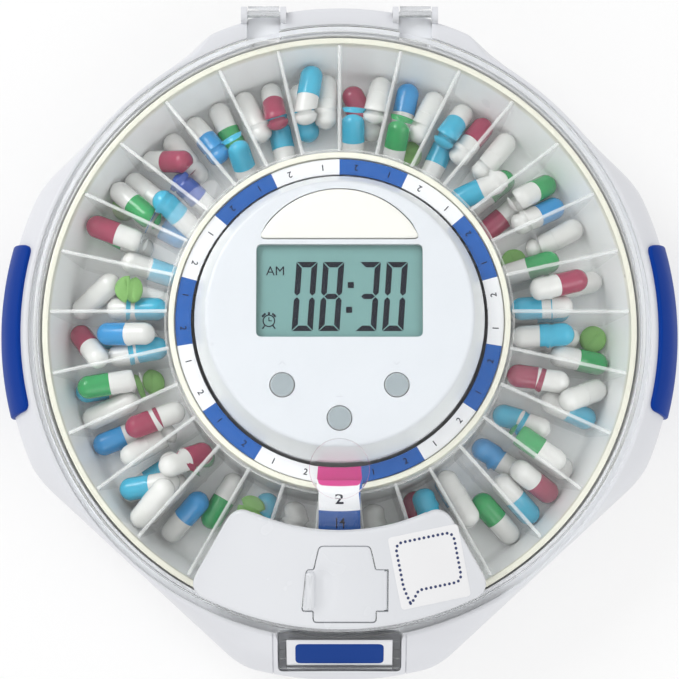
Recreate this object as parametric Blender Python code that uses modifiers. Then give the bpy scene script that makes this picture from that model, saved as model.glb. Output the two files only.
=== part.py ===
"""Electronic pill box: a carousel of dose pockets, turned by a motor under a clock display.

Lengths are metres. The work is drawn round the tray's axis, X to the right, Y to the rear and Z up from
the table; the empty tray_axis then carries it to the object's own origin, the middle of its base.
"""

from math import acos, asin, atan2, cos, hypot, pi, radians, sin, sqrt, tan, tau

import bmesh
import bpy
from mathutils import Vector

# Overall
FRONT_LOBE = 0.0104
REAR_LOBE = 0.0058
SIDE_LOBE = 0.0068
GAP = 0.0003
WELD = 0.000005
OVERRUN = 0.0010
FLANK_ANGLE = radians(47.5)
CORNER_BLEND = 0.0025
OUTLINE_SIDES = 48
TURN_STEPS = 48
SMALL_STEPS = 16

# Feet and bottom pan
FOOT_HEIGHT = 0.0012
FOOT_RADIUS = 0.0060
FOOT_SPREAD = 0.0560
PAN_BOTTOM = 0.0015
PAN_FLOOR = 0.0018
PAN_TOP = 0.0058
PAN_CURL = 0.0029
PAN_WALL = 0.0018

# Housing
WALL = 0.0018
FOOT_INSET = 0.0076
FOOT_MARGIN = 0.0005
WAIST_HEIGHT = 0.0120
WAIST_INSET = 0.0026
EDGE_BAND = 0.0030
SHOULDER_RISE = 0.0057
RIM_RISE = 0.0048
SHOULDER_SHARE = 0.66
SEAT_DEPTH = 0.0018
RIM_WIDTH = 0.0013
RIM_EDGE_INSET = 0.0004
REAR_RIM_EXTRA = 0.0037
REAR_RIM_ANGLE = radians(23.0)
REAR_RIM_FADE = radians(6.0)
SEAT_WIDTH = 0.0034
SEAT_DROP = 0.0008
WELL_CLEARANCE = 0.0009
WELL_TAPER = 0.0044
WELL_FLOOR = 0.0060
FLOOR_THICKNESS = 0.0016
WELL_WALL = 0.0016
UNDER_SEAT = 0.0018
FOOT_RING_INSET = 0.0013
FOOT_RING_HEIGHT = 0.0084
COLUMN_LEDGE = 0.0052
COLUMN_ROOF = 0.0018

# Tray
POCKETS = 29
POCKET_LENGTH = 0.0390
HUB_RISE = 0.0140
TRAY_RIM_BAND = 0.0018
TRAY_LIP_DROP = 0.0018
TRAY_WALL = 0.0012
TRAY_FLOOR = 0.0015
TRAY_TAPER = 0.0072
HUB_CLEARANCE = 0.0061
HUB_WALL = 0.0017
HUB_PROUD = 0.0002
HUB_LEDGE_WIDTH = 0.0009
HUB_LEDGE_HEIGHT = 0.0012
DIVIDER_THICKNESS = 0.0012
DIVIDER_SLEEVE = 0.0010
DIVIDER_HUB_DROP = 0.0010
DIVIDER_RIM_RISE = 0.0004

# Dose ring
DOSE_RING_CLEARANCE = 0.0011
DOSE_RING_DROP = 0.0008
DOSE_RING_THICKNESS = 0.0010
DOSE_TAB_WIDTH = 0.0123
DOSE_TAB_LENGTH = 0.0130
DOSE_TAB_THICKNESS = 0.0008

# Gears
RING_RIM = 0.0028
RING_TEETH = 60
DRIVE_TEETH = 18
GEAR_CLEARANCE = 0.0019
GEAR_THICKNESS = 0.0034
ADDENDUM_SHARE = 0.82
DEDENDUM_SHARE = 1.12
PRESSURE_ANGLE = radians(20.0)
BACKLASH = 0.00042
GEAR_SHAFT_RADIUS = 0.0024
GEAR_SHAFT_REACH = 0.0040

# Drive
DECK_CLEARANCE = 0.0005
DECK_THICKNESS = 0.0014
DECK_SLOT = (0.0045, 0.0090)
DECK_SLOT_X = -0.0355
POST_RADIUS = 0.0028
POSTS = ((-0.0265, -0.0200), (0.0265, -0.0200), (-0.0300, 0.0120), (0.0300, 0.0120))
MOTOR_RADIUS = 0.0131
MOTOR_HEIGHT = 0.0172
MOTOR_OFFSET = 0.0080
EAR_SPREAD = 0.0175
EAR_END = 0.0035
EAR_WIDTH = 0.0070
EAR_THICKNESS = 0.0010
MOTOR_SCREW_RADIUS = 0.0012
MOTOR_SCREW_HEAD = (0.0025, 0.0016)
HOME_SENSOR_SIZE = (0.0080, 0.0045, 0.0060)
HOME_SENSOR_WINDOW = (0.0060, 0.0040)
SENSOR_WALL_GAP = 0.0008

# Battery bay
CELL_RADIUS = 0.00725
CELL_LENGTH = 0.0495
CELL_NUB = (0.0027, 0.0010)
CELL_COUNT = 4
CELL_CLEARANCE = 0.00035
BAY_SPARE = 0.0065
BAY_CORNER_CUT = 0.000705
BAY_WALL = 0.0014
BAY_COLUMN_CLEARANCE = 0.0003
CONTACT_THICKNESS = 0.0004
CONTACT_SIDE = 0.0110
SPRING_TURNS = 3
SPRING_WIRE = 0.00035
SPRING_WIDE = 0.0036
SPRING_NARROW = 0.0024
DOOR_MARGIN = 0.0012
LEAD_RADIUS = 0.0007
LEAD_SPREAD = 0.0016
LEAD_START_HEIGHT = 0.0140
SCREW_INSET = 0.0052
SCREW_SPREAD = 0.0090
SCREW_BOSS_RADIUS = 0.0032
SCREW_BOSS_HEIGHT = 0.0150
SCREW_RADIUS = 0.0013
SCREW_HEAD = (0.0026, 0.0009)

# Display head
HEAD_RISE = 0.0122
HEAD_SLOPE = 0.0036
HEAD_EDGE = 0.0007
HEAD_SKIRT = 0.0020
HEAD_WALL = 0.0018
BOARD_MARGIN = 0.0010
BOARD_THICKNESS = 0.0016
WINDOW_SIZE = (0.0485, 0.0271)
WINDOW_THICKNESS = 0.0012
WINDOW_DROP = 0.0003
WINDOW_MARGIN = 0.00205
PANEL_SIZE = (0.0530, 0.0330)
PANEL_THICKNESS = 0.0022
FRAME_WALL = 0.0016
ALARM_HALF_WIDTH = 0.0240
ALARM_HEIGHT = 0.0148
ALARM_INSET = 0.0025
ALARM_PROUD = 0.0006
ALARM_THICKNESS = 0.0022
ALARM_ARC_POINTS = 14
LED_RADIUS = 0.0025
LED_HEIGHT = 0.0055
LED_SPREAD = 0.0130
LED_INSET = 0.0071
LED_STRIP = 0.0010
BUTTON_RADIUS = 0.0035
BUTTON_SPOTS = {"left": (-0.0168, -0.0214), "middle": (0.0, -0.0312), "right": (0.0168, -0.0214)}
BUTTON_PROUD = 0.0005
BUTTON_FLANGE = 0.0044
BUTTON_FLANGE_HEIGHT = 0.0010
BUTTON_STEM = 0.0020
BUTTON_TRAVEL = 0.0007
BUTTON_EDGE = 0.0005
SWITCH_SIDE = 0.0060
SWITCH_HEIGHT = 0.0035
BUZZER_RADIUS = 0.0055
BUZZER_HEIGHT = 0.0060
BUZZER_SPOT = (0.0, -0.0185)

# Lid
LID_WALL = 0.0018
FLANGE_CLEARANCE = 0.0005
LID_FLANGE_THICKNESS = 0.0020
FLANGE_WIDTH = 0.0012
LID_WALL_RISE = 0.0058
LID_EDGE = 0.0008
LID_SLOPE_WIDTH = 0.0284
LID_SLOPE_RISE = 0.0152
LID_STEP_WIDTH = 0.0007
LID_STEP_RISE = 0.0006
LID_CROWN = 0.0095
DOME_SHARES = (0.836, 0.6625, 0.4259, 0.205)
DOME_DROPS = (0.0042, 0.0019, 0.0006, 0.00012)
LENS_INSET = 0.0046
LENS_RADIUS = 0.0088
LENS_EDGE = 0.0020
LENS_CROWN = 0.0011
LENS_BAND = 0.0012
TONGUE_HALF_WIDTH = 0.0180
TONGUE_INSET = 0.0030
TONGUE_DROP = 0.0084
TONGUE_ROOT = 0.0014
TONGUE_KNEE_RISE = 0.0008
TONGUE_WALL = 0.0018
TONGUE_SIDE_BAR = 0.0018
TONGUE_END_BAR = 0.0011
LEG_THICKNESS = 0.0016
LEG_INSETS = (0.0013, 0.0035)
LEG_DEPTH = 0.0110
TONGUE_CLEARANCE = 0.0005
RECESS_SKIN = 0.0010
RECESS_WALL = 0.0014
RECESS_REACH = 0.0015

# Hinge
HINGE_OFFSET = 0.0034
TAB_INNER = 0.0186
TAB_OUTER = 0.0281
TAB_CLEARANCE = 0.0004
TAB_RADIUS = 0.0027
TAB_LENGTH = 0.0083
TAB_ROOT_RISE = 0.0034
PIN_RADIUS = 0.0011
PIN_SOCKET = 0.0004
HINGE_EAR = 0.0018
HINGE_EAR_RADIUS = 0.0026
HINGE_EAR_DEPTH = 0.0070
NOTCH_DEPTH = 0.0034

# Hatch
PLATE_INSET = 0.0002
PLATE_MARGIN = 0.0005
PLATE_INNER_ANGLE = radians(28.6)
PLATE_OUTER_ANGLE = radians(29.5)
PLATE_CORNER = 0.0060
PLATE_THICKNESS = 0.0016
DOOR_X = 0.0015
DOOR_HINGE_OFFSET = 0.0117
DOOR_DROP = 0.0040
DOOR_TOP_SLANT = 0.0066
DOOR_EAR_LENGTH = 0.0115
DOOR_BOTTOM_SLANT = 0.0032
DOOR_TOP_HALF = 0.0073
DOOR_SHOULDER_HALF = 0.0089
DOOR_EAR_HALF = 0.0110
DOOR_EAR_LOW_HALF = 0.0124
DOOR_BOTTOM_HALF = 0.0091
RIDGE_WIDTH = 0.0026
RIDGE_HEIGHT = 0.0013
RIDGE_OFFSET = 0.0100
DOOR_CUT_REACH = 0.0050
HATCH_MARGIN = 0.0013

# Release button
RELEASE_HALF_WIDTH = 0.0158
RELEASE_DROP = 0.0003
RELEASE_TRAVEL = 0.0020
RELEASE_WALL = 0.0014
RELEASE_ROOF = 0.0004
RELEASE_SPRING_RADIUS = 0.0014
RELEASE_SPRING_WIRE = 0.0004
RELEASE_SPRING_TURNS = 4

# Lock
LOCK_HEIGHT = 0.0104
LOCK_RADIUS = 0.0030
LOCK_FLANGE = (0.0039, 0.0008)
LOCK_CYLINDER_RADIUS = 0.0022
LOCK_DEPTH = 0.0036
LOCK_BOSS_HALF = 0.0052
LOCK_BOSS_LENGTH = 0.0087
LOCK_BOSS_INSET = 0.0013
LOCK_BOSS_RISE = 0.0046
CAM_LENGTH = 0.0060
CAM_WIDTH = 0.0030
CAM_THICKNESS = 0.0012
KEYWAY = (0.0008, 0.0030, 0.0020)
NUT_RADIUS = 0.0042
NUT_THICKNESS = 0.0014

# Grips
GRIP_ANGLE = radians(15.0)
GRIP_STEPS = 10
GRIP_THICKNESS = 0.0010
GRIP_TOP_DROP = 0.0012
GRIP_FOOT_HEIGHT = 0.0095

# Colours: red, green, blue, roughness, metallic
WHITE = (0.80, 0.81, 0.83, 0.35, 0.0)
INNER_WHITE = (0.72, 0.73, 0.75, 0.45, 0.0)
CREAM = (0.82, 0.81, 0.66, 0.40, 0.0)
MILKY = (0.70, 0.74, 0.74, 0.40, 0.0)
CLEAR = (0.85, 0.88, 0.88, 0.08, 0.0)
BLUE = (0.004, 0.045, 0.32, 0.30, 0.0)
RUBBER = (0.03, 0.03, 0.03, 0.80, 0.0)
STEEL = (0.55, 0.56, 0.58, 0.30, 1.0)
BRASS = (0.60, 0.42, 0.14, 0.35, 1.0)
GREEN = (0.02, 0.18, 0.07, 0.50, 0.0)
BLACK = (0.02, 0.02, 0.02, 0.50, 0.0)
RED = (0.45, 0.02, 0.02, 0.45, 0.0)
GREY = (0.36, 0.41, 0.44, 0.50, 0.0)
LCD_GREEN = (0.27, 0.40, 0.37, 0.25, 0.0)

# Radii, from the battery bay outwards
CELL_PITCH = 2 * CELL_RADIUS + GAP
BAY_LENGTH = CELL_LENGTH + BAY_SPARE
BAY_INNER_HALF = (CELL_COUNT - 1) * CELL_PITCH / 2 + CELL_RADIUS + CELL_CLEARANCE
BAY_HALF = BAY_INNER_HALF + BAY_WALL
COLUMN_INNER = hypot(BAY_HALF - BAY_CORNER_CUT, BAY_LENGTH / 2)
COLUMN_RADIUS = COLUMN_INNER + WALL
COLUMN_OPENING = COLUMN_RADIUS - COLUMN_LEDGE
BOARD_RADIUS = COLUMN_INNER - BOARD_MARGIN
HEAD_FACE_RADIUS = COLUMN_RADIUS - HEAD_SLOPE
ALARM_TOP = HEAD_FACE_RADIUS - ALARM_INSET
ALARM_BOTTOM = ALARM_TOP - ALARM_HEIGHT
LED_Y = ALARM_TOP - LED_INSET
WINDOW_Y = ALARM_BOTTOM - WINDOW_MARGIN - WINDOW_SIZE[1] / 2
HOUSING_SCREWS = (COLUMN_INNER - SCREW_INSET, SCREW_SPREAD)
HUB_INNER = COLUMN_RADIUS + HUB_CLEARANCE
HUB_RADIUS = HUB_INNER + HUB_WALL
FOOT_RING_RADIUS = HUB_INNER - FOOT_RING_INSET
DOSE_RING_INNER = COLUMN_RADIUS + DOSE_RING_CLEARANCE
DOSE_TAB_REACH = HUB_RADIUS + DOSE_TAB_LENGTH
TRAY_RADIUS = HUB_RADIUS + POCKET_LENGTH
TRAY_INNER = TRAY_RADIUS - TRAY_RIM_BAND
TRAY_FLOOR_RADIUS = TRAY_RADIUS - TRAY_TAPER
WELL_RADIUS = TRAY_RADIUS + WELL_CLEARANCE
WELL_FLOOR_RADIUS = WELL_RADIUS - WELL_TAPER
RECESS_RADIUS = WELL_RADIUS + SEAT_WIDTH
RIM_REACH = RECESS_RADIUS + RIM_WIDTH
REAR_RIM_REACH = RIM_REACH + REAR_RIM_EXTRA
FRONT_REACH = RIM_REACH + FRONT_LOBE
REAR_REACH = RIM_REACH + REAR_LOBE
SIDE_REACH = RIM_REACH + SIDE_LOBE
FRONT_FLANK_REACH = RIM_REACH - RIM_EDGE_INSET
REAR_FLANK_REACH = RIM_REACH + RIM_EDGE_INSET
LEAST_FOOT_REACH = WELL_RADIUS - FOOT_MARGIN
AXIS_Y = (FRONT_REACH - REAR_REACH) / 2

# Heights, from the pan up through the drive
FLOOR_TOP = PAN_BOTTOM + PAN_FLOOR
BAY_BOTTOM = FLOOR_TOP + GAP
CELL_HEIGHT = BAY_BOTTOM + CELL_RADIUS + CELL_CLEARANCE
BAY_ROOF = CELL_HEIGHT + CELL_RADIUS + CELL_CLEARANCE
GEAR_BOTTOM = BAY_ROOF + GEAR_CLEARANCE
GEAR_TOP = GEAR_BOTTOM + GEAR_THICKNESS
DECK_HEIGHT = GEAR_TOP + DECK_CLEARANCE
DECK_TOP = DECK_HEIGHT + DECK_THICKNESS
MOTOR_BOTTOM = DECK_TOP + GAP
COLUMN_TOP = MOTOR_BOTTOM + MOTOR_HEIGHT + GAP
BOARD_BOTTOM = COLUMN_TOP + GAP
BOARD_TOP = BOARD_BOTTOM + BOARD_THICKNESS
HEAD_TOP = COLUMN_TOP + HEAD_RISE
HUB_TOP = COLUMN_TOP + HUB_PROUD
DOSE_RING_TOP = HUB_TOP - DOSE_RING_DROP
DIVIDER_HUB_HEIGHT = HUB_TOP - DIVIDER_HUB_DROP
TRAY_RIM_HEIGHT = HUB_TOP - HUB_RISE
DIVIDER_RIM_HEIGHT = TRAY_RIM_HEIGHT + DIVIDER_RIM_RISE
TRAY_BOTTOM = WELL_FLOOR + GAP
TRAY_FLOOR_TOP = TRAY_BOTTOM + TRAY_FLOOR
SEAT_HEIGHT = TRAY_RIM_HEIGHT - SEAT_DROP
RIM_HEIGHT = SEAT_HEIGHT + SEAT_DEPTH
SHOULDER_HEIGHT = RIM_HEIGHT - RIM_RISE
HIGH_EDGE = SHOULDER_HEIGHT - SHOULDER_RISE
LOW_EDGE = HIGH_EDGE - EDGE_BAND
GRIP_TOP_HEIGHT = RIM_HEIGHT - GRIP_TOP_DROP

# Gears
RING_PITCH_RADIUS = HUB_INNER - RING_RIM
GEAR_MODULE = 2 * RING_PITCH_RADIUS / RING_TEETH
DRIVE_PITCH_RADIUS = GEAR_MODULE * DRIVE_TEETH / 2
GEAR_CENTRE = RING_PITCH_RADIUS - DRIVE_PITCH_RADIUS
MOTOR_Y = GEAR_CENTRE - MOTOR_OFFSET
EAR_LENGTH = 2 * (EAR_SPREAD + EAR_END)

# Lid, hinge and hatch
LID_FLANGE_RADIUS = RECESS_RADIUS - FLANGE_CLEARANCE
LID_WALL_RADIUS = LID_FLANGE_RADIUS - FLANGE_WIDTH
LID_SLOPE_RADIUS = LID_WALL_RADIUS - LID_EDGE
LID_STEP_RADIUS = LID_SLOPE_RADIUS - LID_SLOPE_WIDTH
LID_SEAT = SEAT_HEIGHT + GAP
LID_WALL_HEIGHT = SEAT_HEIGHT + LID_WALL_RISE
LID_SLOPE_HEIGHT = LID_WALL_HEIGHT + LID_EDGE
LID_STEP_HEIGHT = LID_SLOPE_HEIGHT + LID_SLOPE_RISE
LID_TOP = LID_STEP_HEIGHT + LID_CROWN
LID_SLOPE = atan2(LID_STEP_HEIGHT - LID_SLOPE_HEIGHT, LID_SLOPE_RADIUS - LID_STEP_RADIUS)
DOME_RADII = [share * LID_STEP_RADIUS for share in DOME_SHARES]
LENS_Y = LENS_INSET - HUB_RADIUS
HINGE_Y = LID_FLANGE_RADIUS + HINGE_OFFSET
HINGE_HEIGHT = RIM_HEIGHT
TAB_ROOT = HINGE_Y - TAB_LENGTH
TAB_ROOT_HEIGHT = HINGE_HEIGHT + TAB_ROOT_RISE
HINGE_EAR_BOTTOM = HINGE_HEIGHT - HINGE_EAR_DEPTH
NOTCH_FLOOR = HINGE_HEIGHT - NOTCH_DEPTH
PLATE_INNER = LID_STEP_RADIUS + PLATE_INSET
PLATE_OUTER = LID_SLOPE_RADIUS - PLATE_MARGIN
DOOR_TOP = PLATE_INNER + DOOR_DROP
DOOR_SHOULDER = DOOR_TOP + DOOR_TOP_SLANT
DOOR_EAR_END = DOOR_SHOULDER + DOOR_EAR_LENGTH
DOOR_BOTTOM = DOOR_EAR_END + DOOR_BOTTOM_SLANT
DOOR_HINGE_X = DOOR_X + DOOR_HINGE_OFFSET
DOOR_HINGE_Y = -(DOOR_SHOULDER + DOOR_EAR_END) / 2
DOOR_HINGE_RADIUS = hypot(DOOR_HINGE_X, DOOR_HINGE_Y)

# Tongue, release button and lock
TONGUE_REACH = FRONT_REACH - TONGUE_INSET
TONGUE_KNEE_REACH = LID_FLANGE_RADIUS + TONGUE_ROOT
TONGUE_KNEE_HEIGHT = RIM_HEIGHT + TONGUE_KNEE_RISE
TONGUE_END_HEIGHT = RIM_HEIGHT - TONGUE_DROP
LEG_SPAN = (TONGUE_KNEE_REACH + LEG_INSETS[0], TONGUE_REACH - LEG_INSETS[1])
LOCK_BOSS_FACE = FRONT_REACH - LOCK_BOSS_INSET
LOCK_BOSS = (LOCK_BOSS_HALF, LOCK_BOSS_FACE - LOCK_BOSS_LENGTH, LOCK_BOSS_FACE)
LOCK_BOSS_TOP = LOCK_HEIGHT + LOCK_BOSS_RISE
LOCK_BACK = LOCK_BOSS[1] - LOCK_DEPTH
RECESS_FLOOR = LOCK_BOSS_TOP + RECESS_SKIN
RECESS_BACK = RECESS_RADIUS - RECESS_REACH
RELEASE_BACK = RECESS_RADIUS + GAP
RELEASE_POCKET = TONGUE_END_HEIGHT + RELEASE_ROOF
TONGUE_SLOPE = atan2(TONGUE_KNEE_HEIGHT - TONGUE_END_HEIGHT, TONGUE_REACH - TONGUE_KNEE_REACH)

for old in list(bpy.data.objects):
    bpy.data.objects.remove(old)

parts = bpy.data.collections.new("electronic_pill_box")
cutters = bpy.data.collections.new("cutters")
bpy.context.scene.collection.children.link(parts)
bpy.context.scene.collection.children.link(cutters)


def finish_of(name, tone):
    """The Principled material of one part."""
    made = bpy.data.materials.new(name)
    made.use_nodes = True
    shader = made.node_tree.nodes["Principled BSDF"]
    shader.inputs["Base Color"].default_value = (*tone[:3], 1.0)
    shader.inputs["Roughness"].default_value = tone[3]
    shader.inputs["Metallic"].default_value = tone[4]
    made.diffuse_color = (*tone[:3], 1.0)
    return made


def pivot(name, place):
    """An empty on a joint's axis, in the tray axis's frame."""
    empty = bpy.data.objects.new(name, None)
    parts.objects.link(empty)
    empty.location = place
    empty.parent = tray_axis
    return empty


def settle(obj, carrier=None, place=(0.0, 0.0, 0.0)):
    """Parents an object to its pivot, or to the tray axis, at a place in the tray axis's frame."""
    obj.parent = carrier or tray_axis
    offset = carrier.location if carrier else Vector((0.0, 0.0, 0.0))
    obj.location = Vector(place) - offset
    return obj


def part(name, mesh, tone, carrier=None, place=(0.0, 0.0, 0.0)):
    """A visible part with its own material."""
    obj = bpy.data.objects.new(name, mesh)
    parts.objects.link(obj)
    mesh.materials.clear()
    mesh.materials.append(finish_of(name, tone))
    return settle(obj, carrier, place)


def tool(name, mesh, place=(0.0, 0.0, 0.0)):
    """A hidden shape that cuts or joins."""
    obj = bpy.data.objects.new(name, mesh)
    cutters.objects.link(obj)
    obj.hide_render = True
    obj.display_type = "WIRE"
    return settle(obj, None, place)


def smooth(obj, angle=radians(35.0)):
    obj.data.shade_smooth()
    obj.data.set_sharp_from_angle(angle=angle)
    return obj


def combine(target, other, operation="DIFFERENCE"):
    made = target.modifiers.new(other.name, "BOOLEAN")
    made.operation = operation
    made.solver = "EXACT"
    made.object = other
    return target


def joined(name, meshes):
    """Several meshes as one, each still its own body."""
    shape = bmesh.new()
    for mesh in meshes:
        shape.from_mesh(mesh)
        bpy.data.meshes.remove(mesh)
    made = bpy.data.meshes.new(name)
    shape.to_mesh(made)
    shape.free()
    return made


def block(name, x_span, y_span, z_span):
    """A box between two values on each axis."""
    shape = bmesh.new()
    made = bmesh.ops.create_cube(shape, size=1.0)
    for vert in made["verts"]:
        spans = (x_span, y_span, z_span)
        vert.co = [sum(span) / 2 + unit * (max(span) - min(span)) for unit, span in zip(vert.co, spans)]
    mesh = bpy.data.meshes.new(name)
    shape.to_mesh(mesh)
    shape.free()
    return mesh


def rod(name, start, end, radius, sides=SMALL_STEPS):
    """A closed cylinder from one point to another."""
    start = Vector(start)
    along = Vector(end) - start
    shape = bmesh.new()
    made = bmesh.ops.create_cone(
        shape, cap_ends=True, segments=sides, radius1=radius, radius2=radius, depth=along.length
    )
    turn = along.to_track_quat("Z", "Y")
    for vert in made["verts"]:
        vert.co = turn @ vert.co + start + along / 2
    mesh = bpy.data.meshes.new(name)
    shape.to_mesh(mesh)
    shape.free()
    return mesh


def turned(name, profile, steps=TURN_STEPS, ring=True):
    """The Screw of a profile of (radius, height) points: a closed ring, or a line from axis to axis."""
    count = len(profile)
    edges = [(i, i + 1) for i in range(count - 1)] + ([(count - 1, 0)] if ring else [])
    mesh = bpy.data.meshes.new(name)
    mesh.from_pydata([(radius, 0.0, height) for radius, height in profile], edges, [])
    obj = bpy.data.objects.new(name, mesh)
    cutters.objects.link(obj)
    made = obj.modifiers.new("turn", "SCREW")
    made.steps = made.render_steps = steps
    made.use_merge_vertices = True
    made.merge_threshold = 2 * WELD
    return baked(obj)


def baked(obj):
    """The mesh that an object evaluates to, with its seams welded. The object is removed."""
    graph = bpy.context.evaluated_depsgraph_get()
    mesh = bpy.data.meshes.new_from_object(obj.evaluated_get(graph))
    shape = bmesh.new()
    shape.from_mesh(mesh)
    bmesh.ops.remove_doubles(shape, verts=shape.verts, dist=WELD)
    bmesh.ops.recalc_face_normals(shape, faces=shape.faces)
    shape.to_mesh(mesh)
    shape.free()
    mesh.name = obj.name
    mesh.materials.clear()
    bpy.data.objects.remove(obj)
    return mesh


def plate(name, outline, low, high, holes=()):
    """A flat outline, and any holes in it, as a filled 2D curve extruded from low to high along Z."""
    curve = bpy.data.curves.new(name, "CURVE")
    curve.dimensions = "2D"
    curve.fill_mode = "BOTH"
    curve.extrude = (high - low) / 2
    for points in (outline, *holes):
        spline = curve.splines.new("POLY")
        spline.points.add(len(points) - 1)
        for point, (x, y) in zip(spline.points, points):
            point.co = (x, y, 0.0, 1.0)
        spline.use_cyclic_u = True
    obj = bpy.data.objects.new(name, curve)
    cutters.objects.link(obj)
    mesh = baked(obj)
    bpy.data.curves.remove(curve)
    for vert in mesh.vertices:
        vert.co.z += (low + high) / 2
    return mesh


def swung(mesh, axes):
    """The mesh with its X, Y and Z laid along three other directions."""
    for vert in mesh.vertices:
        x, y, z = vert.co
        vert.co = Vector(axes[0]) * x + Vector(axes[1]) * y + Vector(axes[2]) * z
    return mesh


def side_plate(name, outline, low, high):
    """An outline of (y, z) points, extruded from low to high along X."""
    return swung(plate(name, outline, low, high), ((0, 1, 0), (0, 0, 1), (1, 0, 0)))


def loft(name, rings, capped=False):
    """Rings of points joined in turn: capped at both ends, or with the last joined to the first."""
    shape = bmesh.new()
    rows = [[shape.verts.new(point) for point in ring] for ring in rings]
    count = len(rows[0])
    pairs = zip(rows, rows[1:]) if capped else zip(rows, rows[1:] + rows[:1])
    for first, second in pairs:
        for i in range(count):
            j = (i + 1) % count
            shape.faces.new((first[i], first[j], second[j], second[i]))
    if capped:
        shape.faces.new(rows[0])
        shape.faces.new(rows[-1])
    bmesh.ops.recalc_face_normals(shape, faces=shape.faces)
    mesh = bpy.data.meshes.new(name)
    shape.to_mesh(mesh)
    shape.free()
    return mesh


def wire(name, points, radius, roundness):
    """A tube along points, with its ends filled."""
    curve = bpy.data.curves.new(name, "CURVE")
    curve.dimensions = "3D"
    curve.bevel_depth = radius
    curve.bevel_resolution = roundness
    curve.use_fill_caps = True
    spline = curve.splines.new("POLY")
    spline.points.add(len(points) - 1)
    for point, place in zip(spline.points, points):
        point.co = (*place, 1.0)
    obj = bpy.data.objects.new(name, curve)
    cutters.objects.link(obj)
    mesh = baked(obj)
    bpy.data.curves.remove(curve)
    return mesh


def coil(start, height, wide, narrow, turns, points_per_turn=8):
    """Points up a helix whose radius goes from wide to narrow."""
    total = turns * points_per_turn
    for i in range(total + 1):
        share = i / total
        radius = wide + (narrow - wide) * share
        angle = tau * turns * share
        across = start[0] + radius * cos(angle)
        yield (across, start[1] + radius * sin(angle), start[2] + height * share)


def polar(radius, angle, height=0.0):
    return Vector((radius * cos(angle), radius * sin(angle), height))


def circle(radius, sides, centre=(0.0, 0.0)):
    return [
        (centre[0] + radius * cos(tau * i / sides), centre[1] + radius * sin(tau * i / sides))
        for i in range(sides)
    ]


def grown(outline, margin):
    """The outline, counterclockwise, with each side moved out by the margin."""
    made = []
    count = len(outline)
    for i in range(count):
        corner = Vector(outline[i])
        before = (corner - Vector(outline[i - 1])).normalized()
        after = (Vector(outline[(i + 1) % count]) - corner).normalized()
        outward = Vector((before.y, -before.x)) + Vector((after.y, -after.x))
        made.append(tuple(corner + outward * (margin / (1 + before.dot(after)))))
    return made


tray_axis = bpy.data.objects.new("tray_axis", None)
parts.objects.link(tray_axis)
tray_axis.location = (0.0, AXIS_Y, 0.0)


# Outline and housing
def softer_least(first, second, blend):
    """The lesser of two lengths, eased where they cross."""
    near = max(blend - abs(first - second), 0.0) / blend
    return min(first, second) - near * near * blend / 4


def outline_reach(angle):
    """How far the base reaches from the tray axis: four lobes cut by four straight flanks."""
    turn = atan2(sin(angle), cos(angle))
    beside = min(abs(turn), pi - abs(turn))
    if beside <= FLANK_ANGLE:
        lobe = SIDE_REACH
    else:
        lobe = REAR_REACH if turn > 0 else FRONT_REACH
    flank = (REAR_FLANK_REACH if turn > 0 else FRONT_FLANK_REACH) / cos(beside - FLANK_ANGLE)
    return softer_least(lobe, flank, CORNER_BLEND)


def rim_reach(angle):
    """The outer edge of the flat rim, which is wider over the hinges."""
    from_rear = acos(max(-1.0, min(1.0, sin(angle))))
    over = min(max((REAR_RIM_ANGLE + REAR_RIM_FADE - from_rear) / REAR_RIM_FADE, 0.0), 1.0)
    wide = RIM_REACH + (REAR_RIM_REACH - RIM_REACH) * over
    return min(wide, outline_reach(angle) - RIM_EDGE_INSET)


def outer_levels(inset=0.0):
    """(reach of an angle, height) for each ring of the housing's outside, seam to rim."""

    def foot(angle):
        return max(outline_reach(angle) - FOOT_INSET, LEAST_FOOT_REACH) - inset

    def waist(angle):
        return max(outline_reach(angle) - WAIST_INSET, LEAST_FOOT_REACH) - inset

    def edge(angle):
        return outline_reach(angle) - inset

    def shoulder(angle):
        rim = rim_reach(angle)
        return rim + (outline_reach(angle) - rim) * SHOULDER_SHARE - inset

    def rim(angle):
        return rim_reach(angle) - inset

    return (
        (foot, WELL_FLOOR),
        (waist, WAIST_HEIGHT),
        (edge, LOW_EDGE),
        (edge, HIGH_EDGE),
        (shoulder, SHOULDER_HEIGHT - inset),
        (rim, RIM_HEIGHT - inset),
    )


def ring_of(reach, height, sides=OUTLINE_SIDES):
    return [polar(reach(tau * i / sides), tau * i / sides, height) for i in range(sides)]


def round_ring(radius, height):
    return ring_of(lambda angle: radius, height)


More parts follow.
